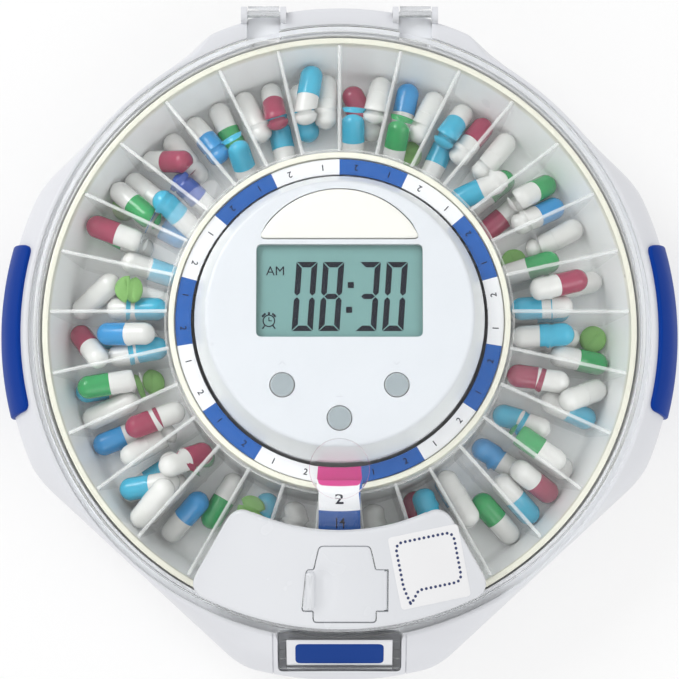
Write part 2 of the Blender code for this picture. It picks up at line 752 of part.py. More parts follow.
def housing_mesh():
    """Up the outside to the rim, over the seat, down the well, up the column, back underneath."""
    rings = [ring_of(reach, height) for reach, height in outer_levels()]
    rings += [
        round_ring(RECESS_RADIUS, RIM_HEIGHT),
        round_ring(RECESS_RADIUS, SEAT_HEIGHT),
        round_ring(WELL_RADIUS, SEAT_HEIGHT),
        round_ring(WELL_FLOOR_RADIUS, WELL_FLOOR),
        round_ring(FOOT_RING_RADIUS, WELL_FLOOR),
        round_ring(FOOT_RING_RADIUS, FOOT_RING_HEIGHT),
        round_ring(COLUMN_RADIUS, FOOT_RING_HEIGHT),
        round_ring(COLUMN_RADIUS, COLUMN_TOP),
        round_ring(COLUMN_OPENING, COLUMN_TOP),
        round_ring(COLUMN_OPENING, COLUMN_TOP - COLUMN_ROOF),
        round_ring(COLUMN_INNER, COLUMN_TOP - COLUMN_ROOF),
        round_ring(COLUMN_INNER, WELL_FLOOR - FLOOR_THICKNESS),
        round_ring(WELL_FLOOR_RADIUS, WELL_FLOOR - FLOOR_THICKNESS),
        round_ring(WELL_FLOOR_RADIUS + WELL_WALL, WELL_FLOOR),
        round_ring(WELL_RADIUS + WELL_WALL, SEAT_HEIGHT - UNDER_SEAT),
    ]
    foot, waist, low_edge, high_edge, shoulder, rim = outer_levels(WALL)

    def clear_of_well(reach, height):
        share = (height - WELL_FLOOR) / (SEAT_HEIGHT - WELL_FLOOR)
        well = WELL_FLOOR_RADIUS + (WELL_RADIUS - WELL_FLOOR_RADIUS) * share + WELL_WALL
        return lambda angle: max(reach(angle), well + GAP)

    rings += [
        ring_of(clear_of_well(shoulder[0], shoulder[1]), shoulder[1]),
        ring_of(clear_of_well(high_edge[0], high_edge[1]), high_edge[1]),
        ring_of(clear_of_well(low_edge[0], low_edge[1]), low_edge[1]),
        ring_of(clear_of_well(waist[0], waist[1]), waist[1]),
        ring_of(foot[0], WELL_FLOOR),
    ]
    return loft("upper_housing", rings)


def housing_skin(inset):
    """The housing's outside as a solid, a little inside its surface."""
    return loft("skin", [ring_of(reach, height) for reach, height in outer_levels(inset)], capped=True)


def add_housing():
    housing = part("upper_housing", housing_mesh(), WHITE)

    tongue_room = TONGUE_HALF_WIDTH + TONGUE_CLEARANCE
    recess_front = -(TONGUE_REACH + TONGUE_CLEARANCE)
    notch_inner = TAB_INNER - TAB_CLEARANCE
    notch_outer = TAB_OUTER + TAB_CLEARANCE
    notch_back = HINGE_Y + TAB_RADIUS + TAB_CLEARANCE
    blocks = [
        block(
            "recess_block",
            (-tongue_room - RECESS_WALL, tongue_room + RECESS_WALL),
            (recess_front - RECESS_WALL, -RECESS_BACK),
            (RECESS_FLOOR - RECESS_WALL, RIM_HEIGHT),
        )
    ]
    for side in (-1, 1):
        blocks.append(
            block(
                "notch_block",
                (side * (notch_inner - HINGE_EAR), side * (notch_outer + HINGE_EAR)),
                (RECESS_RADIUS * cos(asin(notch_outer / RECESS_RADIUS)), REAR_REACH),
                (HINGE_EAR_BOTTOM, RIM_HEIGHT),
            )
        )
    webs = tool("webs", joined("webs", blocks))
    combine(webs, tool("skin", housing_skin(WALL / 4)), "INTERSECT")
    room_radius = RECESS_RADIUS + GAP
    lid_room = rod("lid_room", (0, 0, SEAT_HEIGHT - GAP), (0, 0, LID_TOP), room_radius, OUTLINE_SIDES)
    combine(webs, tool("lid_room", lid_room))
    combine(housing, webs, "UNION")

    ears = []
    bosses = []
    for side in (-1, 1):
        for near in (notch_inner - HINGE_EAR, notch_outer):
            outline = [(HINGE_Y + HINGE_EAR_RADIUS, HINGE_EAR_BOTTOM)]
            outline += [
                (HINGE_Y + HINGE_EAR_RADIUS * cos(pi * i / 6), HINGE_HEIGHT + HINGE_EAR_RADIUS * sin(pi * i / 6))
                for i in range(7)
            ]
            outline += [(HINGE_Y - HINGE_EAR_RADIUS, HINGE_EAR_BOTTOM)]
            low, high = sorted((side * near, side * (near + HINGE_EAR)))
            ears.append(side_plate("ear", outline, low, high))
        for front in (-1, 1):
            spot = (side * HOUSING_SCREWS[0], front * HOUSING_SCREWS[1])
            ends = (*spot, BAY_BOTTOM), (*spot, SCREW_BOSS_HEIGHT)
            bosses.append(rod("boss", *ends, SCREW_BOSS_RADIUS, 12))
    combine(housing, tool("hinge_ears", joined("hinge_ears", ears)), "UNION")
    half, back, front = LOCK_BOSS
    boss = block("lock_boss", (-half, half), (-front, -back), (WELL_FLOOR + GAP, LOCK_BOSS_TOP))
    combine(housing, tool("lock_boss", boss), "UNION")
    ribs = []
    for side in (-1, 1):
        for front in (-1, 1):
            y = front * HOUSING_SCREWS[1]
            wall_x = sqrt(COLUMN_INNER**2 - y**2) + WALL / 2
            ribs.append(
                block(
                    "rib",
                    (side * HOUSING_SCREWS[0], side * wall_x),
                    (y - SCREW_RADIUS, y + SCREW_RADIUS),
                    (WELL_FLOOR, SCREW_BOSS_HEIGHT - GAP),
                )
            )
    combine(housing, tool("screw_ribs", joined("screw_ribs", ribs)), "UNION")
    combine(housing, tool("screw_bosses", joined("screw_bosses", bosses)), "UNION")

    back = -RECESS_BACK - RECESS_WALL
    mouth = -RECESS_RADIUS * cos(asin(tongue_room / RECESS_RADIUS)) + OVERRUN
    recess = [
        (recess_front, RECESS_FLOOR),
        (back, RECESS_FLOOR),
        (back, SEAT_HEIGHT),
        (mouth, SEAT_HEIGHT),
        (mouth, LID_TOP),
        (recess_front, LID_TOP),
    ]
    cuts = [side_plate("recess", recess, -tongue_room, tongue_room)]
    for side in (-1, 1):
        cuts.append(
            block(
                "notch",
                (side * notch_inner, side * notch_outer),
                (TAB_ROOT, notch_back),
                (NOTCH_FLOOR, LID_TOP),
            )
        )
    combine(housing, tool("housing_recesses", joined("housing_recesses", cuts)))

    holes = []
    for side in (-1, 1):
        start = side * (notch_inner - HINGE_EAR - OVERRUN)
        end = side * (notch_outer + HINGE_EAR + OVERRUN)
        hole = PIN_RADIUS + GAP
        ends = (start, HINGE_Y, HINGE_HEIGHT), (end, HINGE_Y, HINGE_HEIGHT)
        holes.append(rod("pin_hole", *ends, hole, 12))
        for front in (-1, 1):
            spot = (side * HOUSING_SCREWS[0], front * HOUSING_SCREWS[1])
            bottom = BAY_BOTTOM - OVERRUN
            top = SCREW_BOSS_HEIGHT - SCREW_RADIUS
            holes.append(rod("screw_hole", (*spot, bottom), (*spot, top), SCREW_RADIUS + GAP, 12))
    lock_front = (0.0, -FRONT_REACH - OVERRUN, LOCK_HEIGHT)
    lock_back = (0.0, -LOCK_BACK, LOCK_HEIGHT)
    holes.append(rod("lock_hole", lock_front, lock_back, LOCK_RADIUS + GAP))
    gear_reach = DRIVE_PITCH_RADIUS + GEAR_MODULE
    holes.append(
        block(
            "gear_window",
            (-gear_reach, gear_reach),
            (COLUMN_INNER * cos(asin(gear_reach / COLUMN_INNER)) - OVERRUN, COLUMN_RADIUS + OVERRUN),
            (GEAR_BOTTOM - 2 * GAP, GEAR_TOP + GAP),
        )
    )
    sensor_low = MOTOR_BOTTOM + OVERRUN
    holes.append(
        block(
            "sensor_window",
            (-HOME_SENSOR_WINDOW[0] / 2, HOME_SENSOR_WINDOW[0] / 2),
            (-COLUMN_RADIUS - OVERRUN, -COLUMN_INNER + OVERRUN),
            (sensor_low, sensor_low + HOME_SENSOR_WINDOW[1]),
        )
    )
    combine(housing, tool("housing_holes", joined("housing_holes", holes)))
    smooth(housing)


def add_bottom_pan():
    def low(angle):
        return max(outline_reach(angle) - FOOT_INSET, LEAST_FOOT_REACH) - PAN_CURL

    def high(angle):
        return max(outline_reach(angle) - FOOT_INSET, LEAST_FOOT_REACH)

    rings = [
        ring_of(low, PAN_BOTTOM),
        ring_of(high, PAN_TOP),
        ring_of(lambda angle: high(angle) - PAN_WALL, PAN_TOP),
        ring_of(lambda angle: low(angle) - PAN_WALL, FLOOR_TOP),
    ]
    pan = part("bottom_pan", loft("bottom_pan", rings, capped=True), WHITE)
    cuts = [
        block(
            "door_hole",
            (-BAY_HALF - DOOR_MARGIN - GAP, BAY_HALF + DOOR_MARGIN + GAP),
            (-BAY_LENGTH / 2 - DOOR_MARGIN - GAP, BAY_LENGTH / 2 + DOOR_MARGIN + GAP),
            (0.0, FLOOR_TOP + OVERRUN),
        )
    ]
    for x in (-HOUSING_SCREWS[0], HOUSING_SCREWS[0]):
        for y in (-HOUSING_SCREWS[1], HOUSING_SCREWS[1]):
            cuts.append(rod("hole", (x, y, 0.0), (x, y, FLOOR_TOP + OVERRUN), SCREW_RADIUS + GAP, 12))
    combine(pan, tool("pan_holes", joined("pan_holes", cuts)))
    heads = []
    for x in (-HOUSING_SCREWS[0], HOUSING_SCREWS[0]):
        for y in (-HOUSING_SCREWS[1], HOUSING_SCREWS[1]):
            sink = PAN_BOTTOM + SCREW_HEAD[1] + GAP
            heads.append(rod("sink", (x, y, 0.0), (x, y, sink), SCREW_HEAD[0] + GAP, 12))
    combine(pan, tool("pan_sinks", joined("pan_sinks", heads)))
    smooth(pan)

    for x, side in ((-1, "left"), (1, "right")):
        for y, end in ((-1, "front"), (1, "rear")):
            spot = (x * FOOT_SPREAD, y * FOOT_SPREAD)
            name = f"foot_{end}_{side}"
            smooth(part(name, rod(name, (*spot, 0.0), (*spot, FOOT_HEIGHT), FOOT_RADIUS, 20), RUBBER))
            spot = (x * HOUSING_SCREWS[0], y * HOUSING_SCREWS[1])
            tip = SCREW_BOSS_HEIGHT - 2 * SCREW_RADIUS
            screw = screw_mesh(spot, PAN_BOTTOM, SCREW_RADIUS, SCREW_HEAD, tip)
            smooth(part(f"housing_screw_{end}_{side}", screw, STEEL))


def screw_mesh(spot, head_bottom, radius, head, tip):
    """A screw driven up: its head low, its shank rising to the tip."""
    head_top = head_bottom + head[1]
    profile = [
        (0.0, tip),
        (radius, tip - radius),
        (radius, head_top),
        (head[0], head_top),
        (head[0], head_bottom),
        (0.0, head_bottom),
    ]
    mesh = turned("screw", profile, 12, ring=False)
    for vert in mesh.vertices:
        vert.co += Vector((*spot, 0.0))
    return mesh


def add_grips():
    """A grip follows the side lobe's outside, one gap away from it."""
    foot, waist, low_edge, high_edge, shoulder, rim = outer_levels()
    waist_share = (GRIP_FOOT_HEIGHT - foot[1]) / (waist[1] - foot[1])
    top_share = (GRIP_TOP_HEIGHT - shoulder[1]) / (rim[1] - shoulder[1])
    slope = atan2(rim[1] - shoulder[1], shoulder[0](0.0) - rim[0](0.0))
    steep = atan2(shoulder[1] - high_edge[1], high_edge[0](0.0) - shoulder[0](0.0))

    def between(first, second, share):
        return lambda angle: first(angle) + (second(angle) - first(angle)) * share

    rows = (
        (between(foot[0], waist[0], waist_share), GRIP_FOOT_HEIGHT, 0.0),
        (waist[0], waist[1], 0.0),
        (low_edge[0], low_edge[1], 0.0),
        (high_edge[0], high_edge[1], (pi / 2 - steep) / 2),
        (shoulder[0], shoulder[1], pi / 2 - (slope + steep) / 2),
        (between(shoulder[0], rim[0], top_share), GRIP_TOP_HEIGHT, pi / 2 - slope),
    )
    for side, name in ((0.0, "grip_right"), (pi, "grip_left")):
        sections = []
        for i in range(GRIP_STEPS + 1):
            angle = side + GRIP_ANGLE * (2 * i / GRIP_STEPS - 1)
            inner = []
            outer = []
            for reach, height, lean in rows:
                base = polar(reach(angle), angle, height)
                away = polar(cos(lean), angle, sin(lean))
                inner.append(base + away * GAP)
                outer.append(base + away * (GAP + GRIP_THICKNESS))
            sections.append(inner + outer[::-1])
        smooth(part(name, loft(name, sections, capped=True), BLUE))


# Battery bay
def add_battery_bay():
    walls_y = (-BAY_LENGTH / 2 - BAY_WALL, BAY_LENGTH / 2 + BAY_WALL)
    outer = block("bay", (-BAY_HALF, BAY_HALF), walls_y, (BAY_BOTTOM, BAY_ROOF + BAY_WALL))
    box = part("battery_box", outer, INNER_WHITE)
    barrel = COLUMN_INNER - BAY_COLUMN_CLEARANCE
    round_off = tool("bay_round", rod("bay_round", (0, 0, 0), (0, 0, COLUMN_TOP), barrel, TURN_STEPS))
    combine(box, round_off, "INTERSECT")
    inside_y = (-BAY_LENGTH / 2, BAY_LENGTH / 2)
    room = block("bay_cavity", (-BAY_INNER_HALF, BAY_INNER_HALF), inside_y, (0.0, BAY_ROOF))
    cavity = tool("bay_cavity", room)
    inner_barrel = rod("inner_barrel", (0, 0, -OVERRUN), (0, 0, COLUMN_TOP), barrel - BAY_WALL, TURN_STEPS)
    inner_round = tool("inner_barrel", inner_barrel)
    combine(cavity, inner_round, "INTERSECT")
    combine(box, cavity)

    end = BAY_LENGTH / 2
    body_top = end - GAP - CONTACT_THICKNESS - GAP - CELL_NUB[1]
    body_low = body_top - CELL_LENGTH
    springs = {-1: [], 1: []}
    for i in range(CELL_COUNT):
        x = (i - (CELL_COUNT - 1) / 2) * CELL_PITCH
        facing = 1 if i % 2 else -1
        profile = [
            (0.0, body_top + CELL_NUB[1]),
            (CELL_NUB[0], body_top + CELL_NUB[1]),
            (CELL_NUB[0], body_top),
            (CELL_RADIUS, body_top),
            (CELL_RADIUS, body_low),
            (0.0, body_low),
        ]
        axes = ((facing, 0, 0), (0, 0, -1), (0, facing, 0))
        cell = swung(turned("cell", profile, 20, ring=False), axes)
        smooth(part(f"battery_{i + 1}", moved(cell, (x, 0.0, CELL_HEIGHT)), GREEN))
        seat = end - GAP - CONTACT_THICKNESS / 2
        length = seat + body_low - GAP - SPRING_WIRE
        points = [
            (x + px, -facing * (seat - pz), CELL_HEIGHT + py)
            for px, py, pz in coil((0.0, 0.0, 0.0), length, SPRING_WIDE, SPRING_NARROW, SPRING_TURNS)
        ]
        springs[-facing].append(wire("contact_spring", points, SPRING_WIRE, 0))
    for way, name in ((-1, "battery_contacts_front"), (1, "battery_contacts_rear")):
        span = (way * (end - GAP - CONTACT_THICKNESS), way * (end - GAP))
        half = (CELL_COUNT - 1) * CELL_PITCH / 2 + CONTACT_SIDE / 2
        tall = CONTACT_SIDE / 2
        bar = block(name, (-half, half), span, (CELL_HEIGHT - tall, CELL_HEIGHT + tall))
        strip = part(name, bar, STEEL)
        for index, spring in enumerate(springs[way]):
            combine(strip, tool(f"{name}_spring_{index + 1}", spring), "UNION")

    hinge_y = BAY_LENGTH / 2 + DOOR_MARGIN
    door_hinge = pivot("battery_door_hinge", (0.0, hinge_y, PAN_BOTTOM))
    half = BAY_HALF + DOOR_MARGIN
    lid = block("battery_door", (-half, half), (-hinge_y, hinge_y), (PAN_BOTTOM, FLOOR_TOP))
    part("battery_door", lid, WHITE, door_hinge)

    for name, y, tone in (("lead_red", LEAD_SPREAD, RED), ("lead_black", -LEAD_SPREAD, BLACK)):
        start_x = -(BAY_HALF + GAP)
        points = [(start_x, y, LEAD_START_HEIGHT)]
        bend = start_x - DECK_SLOT_X
        for i in range(1, 5):
            angle = pi / 2 * i / 4
            points.append((start_x - bend * sin(angle), y, LEAD_START_HEIGHT + bend * (1 - cos(angle))))
        top = BOARD_BOTTOM - GAP
        points += [(DECK_SLOT_X, y, height) for height in (DECK_HEIGHT, DECK_TOP + LEAD_RADIUS, top)]
        smooth(part(name, wire(name, points, LEAD_RADIUS, 1), tone))


def moved(mesh, place):
    """The mesh moved to a place."""
    for vert in mesh.vertices:
        vert.co += Vector(place)
    return mesh


# Drive
def gear_outline(teeth, addendum, dedendum, backlash, phase=0.0):
    """Four points a tooth, on the flanks of a straight sided tooth: tip and root, each side."""
    pitch = GEAR_MODULE * teeth / 2
    half = (pi * GEAR_MODULE / 2 - backlash) / 2
    made = []
    for i in range(teeth):
        middle = tau * i / teeth + phase
        for reach, sign in ((-dedendum, -1), (addendum, -1), (addendum, 1), (-dedendum, 1)):
            width = half - reach * tan(PRESSURE_ANGLE)
            angle = middle + sign * width / pitch
            radius = pitch + reach
            made.append((radius * cos(angle), radius * sin(angle)))
    return made


def add_drive():
    addendum = GEAR_MODULE * ADDENDUM_SHARE
    dedendum = GEAR_MODULE * DEDENDUM_SHARE
    ring_carrier = pivot("tray_pivot", (0.0, 0.0, TRAY_BOTTOM))
    pitch = GEAR_MODULE * RING_TEETH / 2
    half = (pi * GEAR_MODULE / 2 - BACKLASH) / 2
    inner = []
    for i in range(RING_TEETH):
        middle = tau * (i + 0.5) / RING_TEETH + pi / 2
        for reach, sign in ((dedendum, -1), (-addendum, -1), (-addendum, 1), (dedendum, 1)):
            width = half + reach * tan(PRESSURE_ANGLE)
            angle = middle + sign * width / pitch
            inner.append(((pitch + reach) * cos(angle), (pitch + reach) * sin(angle)))
    outer = circle(HUB_INNER - GAP, RING_TEETH)
    ring = plate("tray_gear_ring", outer, GEAR_BOTTOM, GEAR_TOP, holes=(inner,))
    part("tray_gear_ring", ring, INNER_WHITE, ring_carrier)

    gear_carrier = pivot("gear_pivot", (0.0, GEAR_CENTRE, GEAR_BOTTOM))
    outline = gear_outline(DRIVE_TEETH, addendum, dedendum, BACKLASH, pi / 2)
    wheel = plate("drive_gear", outline, GEAR_BOTTOM, GEAR_TOP)
    gear = part("drive_gear", wheel, CREAM, gear_carrier, (0.0, GEAR_CENTRE, 0.0))
    shaft_top = MOTOR_BOTTOM + GEAR_SHAFT_REACH
    spot = (0.0, GEAR_CENTRE)
    middle_of_gear = (GEAR_BOTTOM + GEAR_TOP) / 2
    shaft = rod("gear_shaft", (*spot, middle_of_gear), (*spot, shaft_top), GEAR_SHAFT_RADIUS)
    combine(gear, tool("gear_shaft", shaft), "UNION")

    motor_top = (0, MOTOR_Y, MOTOR_BOTTOM + MOTOR_HEIGHT)
    can = rod("drive_motor", (0, MOTOR_Y, MOTOR_BOTTOM), motor_top, MOTOR_RADIUS, 28)
    motor = part("drive_motor", can, STEEL)
    ears = block(
        "motor_ears",
        (-EAR_LENGTH / 2, EAR_LENGTH / 2),
        (MOTOR_Y - EAR_WIDTH / 2, MOTOR_Y + EAR_WIDTH / 2),
        (MOTOR_BOTTOM, MOTOR_BOTTOM + EAR_THICKNESS),
    )
    combine(motor, tool("motor_ears", ears), "UNION")
    under = MOTOR_BOTTOM - OVERRUN
    holes = [rod("bore", (*spot, under), (*spot, shaft_top + GAP), GEAR_SHAFT_RADIUS + GAP)]
    for side in (-1, 1):
        at = (side * EAR_SPREAD, MOTOR_Y)
        top = MOTOR_BOTTOM + EAR_THICKNESS + OVERRUN
        holes.append(rod("ear_hole", (*at, under), (*at, top), MOTOR_SCREW_RADIUS + GAP, 12))
    combine(motor, tool("motor_holes", joined("motor_holes", holes)))
    smooth(motor)

    deck_radius = COLUMN_INNER - GAP
    disc = rod("drive_deck", (0, 0, DECK_HEIGHT), (0, 0, DECK_TOP), deck_radius, TURN_STEPS)
    deck = part("drive_deck", disc, INNER_WHITE)
    posts = []
    for x, y in POSTS:
        ends = (x, y, BAY_ROOF + BAY_WALL + GAP), (x, y, DECK_HEIGHT + DECK_THICKNESS / 2)
        posts.append(rod("post", *ends, POST_RADIUS, 12))
    combine(deck, tool("deck_posts", joined("deck_posts", posts)), "UNION")
    through = (DECK_HEIGHT - OVERRUN, DECK_TOP + OVERRUN)
    cuts = [rod("shaft_hole", (*spot, through[0]), (*spot, through[1]), 2 * GEAR_SHAFT_RADIUS)]
    for side in (-1, 1):
        at = (side * EAR_SPREAD, MOTOR_Y)
        ends = (*at, through[0]), (*at, through[1])
        cuts.append(rod("deck_hole", *ends, MOTOR_SCREW_RADIUS + GAP, 12))
    cuts.append(
        block(
            "lead_slot",
            (DECK_SLOT_X - DECK_SLOT[0] / 2, DECK_SLOT_X + DECK_SLOT[0] / 2),
            (-DECK_SLOT[1] / 2, DECK_SLOT[1] / 2),
            (DECK_HEIGHT - OVERRUN, DECK_TOP + OVERRUN),
        )
    )
    combine(deck, tool("deck_cuts", joined("deck_cuts", cuts)))

    for side, name in ((-1, "motor_screw_left"), (1, "motor_screw_right")):
        ear_top = MOTOR_BOTTOM + EAR_THICKNESS + GAP
        profile = [
            (0.0, ear_top + MOTOR_SCREW_HEAD[1]),
            (MOTOR_SCREW_HEAD[0], ear_top + MOTOR_SCREW_HEAD[1]),
            (MOTOR_SCREW_HEAD[0], ear_top),
            (MOTOR_SCREW_RADIUS, ear_top),
            (MOTOR_SCREW_RADIUS, DECK_HEIGHT),
            (0.0, DECK_HEIGHT),
        ]
        screw = moved(turned(name, profile, 12, ring=False), (side * EAR_SPREAD, MOTOR_Y, 0.0))
        smooth(part(name, screw, STEEL))

    back = -(COLUMN_INNER - SENSOR_WALL_GAP)
    width, depth, height = HOME_SENSOR_SIZE
    corner = sqrt(back**2 - (width / 2) ** 2)
    span_z = (MOTOR_BOTTOM, MOTOR_BOTTOM + height)
    sensor = block("home_sensor", (-width / 2, width / 2), (-corner, -corner + depth), span_z)
    part("home_sensor", sensor, BLACK)
    return ring_carrier


# Tray
def divider_top(radius):
    share = (radius - HUB_RADIUS) / (TRAY_INNER - HUB_RADIUS)
    return DIVIDER_HUB_HEIGHT + (DIVIDER_RIM_HEIGHT - DIVIDER_HUB_HEIGHT) * share


def add_tray(carrier):
    rim_bottom = TRAY_RIM_HEIGHT - TRAY_LIP_DROP
    ledge = HUB_INNER - HUB_LEDGE_WIDTH
    ledge_top = DOSE_RING_TOP - DOSE_RING_THICKNESS - GAP
    profile = [
        (TRAY_RADIUS, TRAY_RIM_HEIGHT),
        (TRAY_RADIUS, rim_bottom),
        (TRAY_INNER + TRAY_WALL, rim_bottom - TRAY_WALL),
        (TRAY_FLOOR_RADIUS + TRAY_WALL, TRAY_BOTTOM),
        (HUB_INNER, TRAY_BOTTOM),
        (HUB_INNER, ledge_top - HUB_LEDGE_HEIGHT),
        (ledge, ledge_top),
        (HUB_INNER, ledge_top),
        (HUB_INNER, HUB_TOP),
        (HUB_RADIUS, HUB_TOP),
        (HUB_RADIUS, TRAY_FLOOR_TOP),
        (TRAY_FLOOR_RADIUS, TRAY_FLOOR_TOP),
        (TRAY_INNER, rim_bottom),
        (TRAY_INNER, TRAY_RIM_HEIGHT),
    ]
    smooth(part("tray_pan", turned("tray_pan", profile, 2 * POCKETS), MILKY, carrier))

    near = HUB_RADIUS + GAP
    foot = TRAY_FLOOR_TOP + GAP
    root = near + DIVIDER_SLEEVE / 2
    outline = [
        (root, foot + GAP),
        (TRAY_FLOOR_RADIUS - GAP, foot + GAP),
        (TRAY_INNER - 2 * GAP, rim_bottom),
        (TRAY_INNER - 2 * GAP, divider_top(TRAY_INNER)),
        (root, divider_top(root)),
    ]
    sleeve_outer = near + DIVIDER_SLEEVE
    sleeve_top = divider_top(sleeve_outer) - GAP
    profile = [(sleeve_outer, sleeve_top), (sleeve_outer, foot), (near, foot), (near, sleeve_top)]
    dividers = part("tray_dividers", turned("tray_dividers", profile, 2 * POCKETS), MILKY, carrier)
    vanes = []
    for i in range(POCKETS):
        angle = pi / 2 + tau * i / POCKETS
        along = (cos(angle), sin(angle), 0.0)
        across = (sin(angle), -cos(angle), 0.0)
        half = DIVIDER_THICKNESS / 2
        vanes.append(swung(plate("vane", outline, -half, half), (along, (0.0, 0.0, 1.0), across)))
    combine(dividers, tool("divider_vanes", joined("divider_vanes", vanes)), "UNION")

    ring_bottom = DOSE_RING_TOP - DOSE_RING_THICKNESS
    outer = HUB_INNER - GAP
    profile = [
        (outer, DOSE_RING_TOP),
        (outer, ring_bottom),
        (DOSE_RING_INNER, ring_bottom),
        (DOSE_RING_INNER, DOSE_RING_TOP),
    ]
    ring = part("dose_ring", turned("dose_ring", profile), BLUE, carrier)
    slope = (DIVIDER_RIM_HEIGHT - DIVIDER_HUB_HEIGHT) / (TRAY_INNER - HUB_RADIUS)
    over_hub = HUB_TOP + GAP
    root = DOSE_RING_INNER + (outer - DOSE_RING_INNER) / 2
    bend = HUB_RADIUS + GAP
    end_low = over_hub + slope * (DOSE_TAB_REACH - bend)
    thick = DOSE_TAB_THICKNESS
    outline = [
        (-root, DOSE_RING_TOP - thick / 2),
        (-root, over_hub + thick),
        (-bend, over_hub + thick),
        (-DOSE_TAB_REACH, end_low + thick),
        (-DOSE_TAB_REACH, end_low),
        (-bend, over_hub),
        (-(outer - GAP), over_hub),
        (-(outer - GAP), DOSE_RING_TOP - thick / 2),
    ]
    tab = side_plate("dose_tab", outline[::-1], -DOSE_TAB_WIDTH / 2, DOSE_TAB_WIDTH / 2)
    combine(ring, tool("dose_tab", tab), "UNION")


